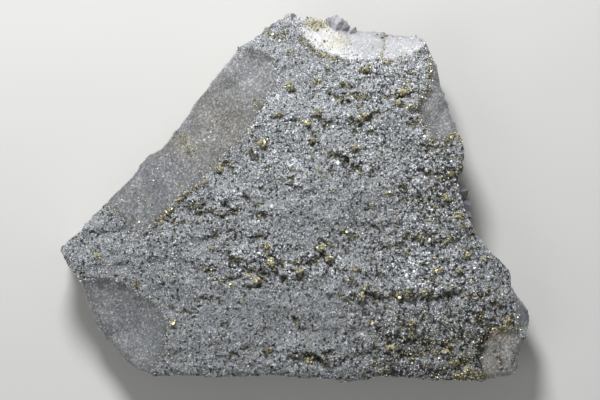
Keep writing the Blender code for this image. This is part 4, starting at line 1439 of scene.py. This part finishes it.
def make_chalcopyrite():
    settings = bpy.context.scene.quartz_chalcopyrite
    random = np.random.default_rng(SEED + 1)
    ground = pick_ground(body_mesh(), ORE_PLACES, random)
    likely = np.clip(0.9 * ground.brass ** 1.45, settings.stray, 1)
    likely = np.where(ground.zones < 0, likely, 0.6 * ground.brass)
    ground = ground.thinned(likely, settings.gap, random)
    count = len(ground.places)
    rich = ground.brass ** 3
    size = settings.radius / MM * np.exp(random.normal(0, 0.3, count)) * (0.85 + 0.75 * rich)
    core = rich[:, None]
    directions = lean_at_random(ground.facing + core * (-0.1, 0.35, 0.0), 1.2 - 0.75 * core, random)
    frames = frames_along(directions, random.random(count) * math.tau)
    kinds = [
        grain_shape(3, 0.55, (1, 1, 1)),
        grain_shape(4, 0.7, (1, 0.8, 0.9)),
        grain_shape(5, 0.75, (0.9, 1.1, 0.8)),
    ]
    scales = size[:, None] * random.uniform(0.8, 1.2, (count, 3))
    fresh = random.random(count) < 0.42 + 0.4 * rich
    dull = np.where(fresh, random.uniform(0, 0.45, count), random.uniform(0.55, 1, count))
    tints = mixed(plain(settings.colour, count), dull, settings.tarnish)
    lift = 0.1 + size * (0.2 + 0.6 * rich * random.random(count))
    lifted = ground.places + ground.facing * lift[:, None]
    choice = random.integers(0, len(kinds), count)
    mesh = copies(kinds, choice, lifted, scales, frames, tints)
    add_piece("chalcopyrite_grains", mesh, chalcopyrite_finish(), smooth=False)


class MakeChalcopyrite(bpy.types.Operator):
    """Scatter the chalcopyrite grains over the crust"""

    bl_idname = "mineral.make_chalcopyrite"
    bl_label = "Chalcopyrite"

    def execute(self, context):
        make_chalcopyrite()
        return {"FINISHED"}


# ---------------------------------------------------------------- stage


def add_light(name, place, size, power):
    """A round area light that points at the middle of the plate."""
    lamp = bpy.data.lights.new(name, "AREA")
    lamp.shape = "DISK"
    lamp.size = size
    lamp.energy = power
    light = put_in_scene(name, lamp)
    light.location = place
    away = Vector(place) - Vector((0, 0, TOP_HEIGHT))
    light.rotation_euler = away.to_track_quat("Z", "Y").to_euler()


def make_stage():
    settings = bpy.context.scene.quartz_stage
    scene = bpy.context.scene
    shape = bmesh.new()
    bmesh.ops.create_grid(shape, x_segments=8, y_segments=8, size=1.5)
    mesh = as_mesh("floor", shape)
    mesh.materials.append(floor_finish(settings.floor_colour))
    floor = put_in_scene("floor", mesh)
    add_light("key", (-0.09, 0.40, 0.43), size=0.17, power=settings.key_power)
    add_light("fill", (-0.5, -0.35, 0.7), size=0.7, power=settings.fill_power)
    world = bpy.data.worlds.new("room")
    world.use_nodes = True
    room = world.node_tree.nodes["Background"].inputs
    room["Color"].default_value = (1, 1, 1, 1)
    room["Strength"].default_value = settings.sky
    scene.world = world
    scene.view_settings.view_transform = "Standard"
    lens = bpy.data.cameras.new("camera")
    lens.lens, lens.sensor_width = 200, 36
    camera = put_in_scene("camera", lens)
    camera.location = (0.0016, -0.00096, TOP_HEIGHT + settings.camera_height)
    scene.camera = camera


class MakeStage(bpy.types.Operator):
    """Set up the floor, the lights and the camera"""

    bl_idname = "mineral.make_stage"
    bl_label = "Stage"

    def execute(self, context):
        make_stage()
        return {"FINISHED"}


# ---------------------------------------------------------------- panel and registration

STEPS = (MakePlate, MakeDruse, MakeSugar, MakeGlassyPoints, MakeChalcopyrite, MakeStage)
SETTINGS = {
    "quartz_plate": PlateSettings,
    "quartz_druse": DruseSettings,
    "quartz_glassy": GlassySettings,
    "quartz_chalcopyrite": ChalcopyriteSettings,
    "quartz_stage": StageSettings,
}


class MineralPanel(bpy.types.Panel):
    bl_idname = "MINERAL_PT_quartz"
    bl_label = "Quartz with Chalcopyrite"
    bl_space_type = "VIEW_3D"
    bl_region_type = "UI"
    bl_category = "Mineral"

    def draw(self, context):
        for step in STEPS:
            self.layout.operator(step.bl_idname)
        for name, group in SETTINGS.items():
            box = self.layout.box()
            for setting in group.__annotations__:
                box.prop(getattr(context.scene, name), setting)


def register():
    for group in SETTINGS.values():
        bpy.utils.register_class(group)
    for name, group in SETTINGS.items():
        setattr(bpy.types.Scene, name, PointerProperty(type=group))
    for step in (*STEPS, MineralPanel):
        bpy.utils.register_class(step)


def unregister():
    for step in (*STEPS, MineralPanel):
        bpy.utils.unregister_class(step)
    for name in SETTINGS:
        delattr(bpy.types.Scene, name)
    for group in SETTINGS.values():
        bpy.utils.unregister_class(group)


def main():
    register()
    bpy.ops.mineral.make_plate()
    bpy.ops.mineral.make_druse()
    bpy.ops.mineral.make_sugar()
    bpy.ops.mineral.make_glassy_points()
    bpy.ops.mineral.make_chalcopyrite()
    bpy.ops.mineral.make_stage()


if __name__ == "__main__":
    main()
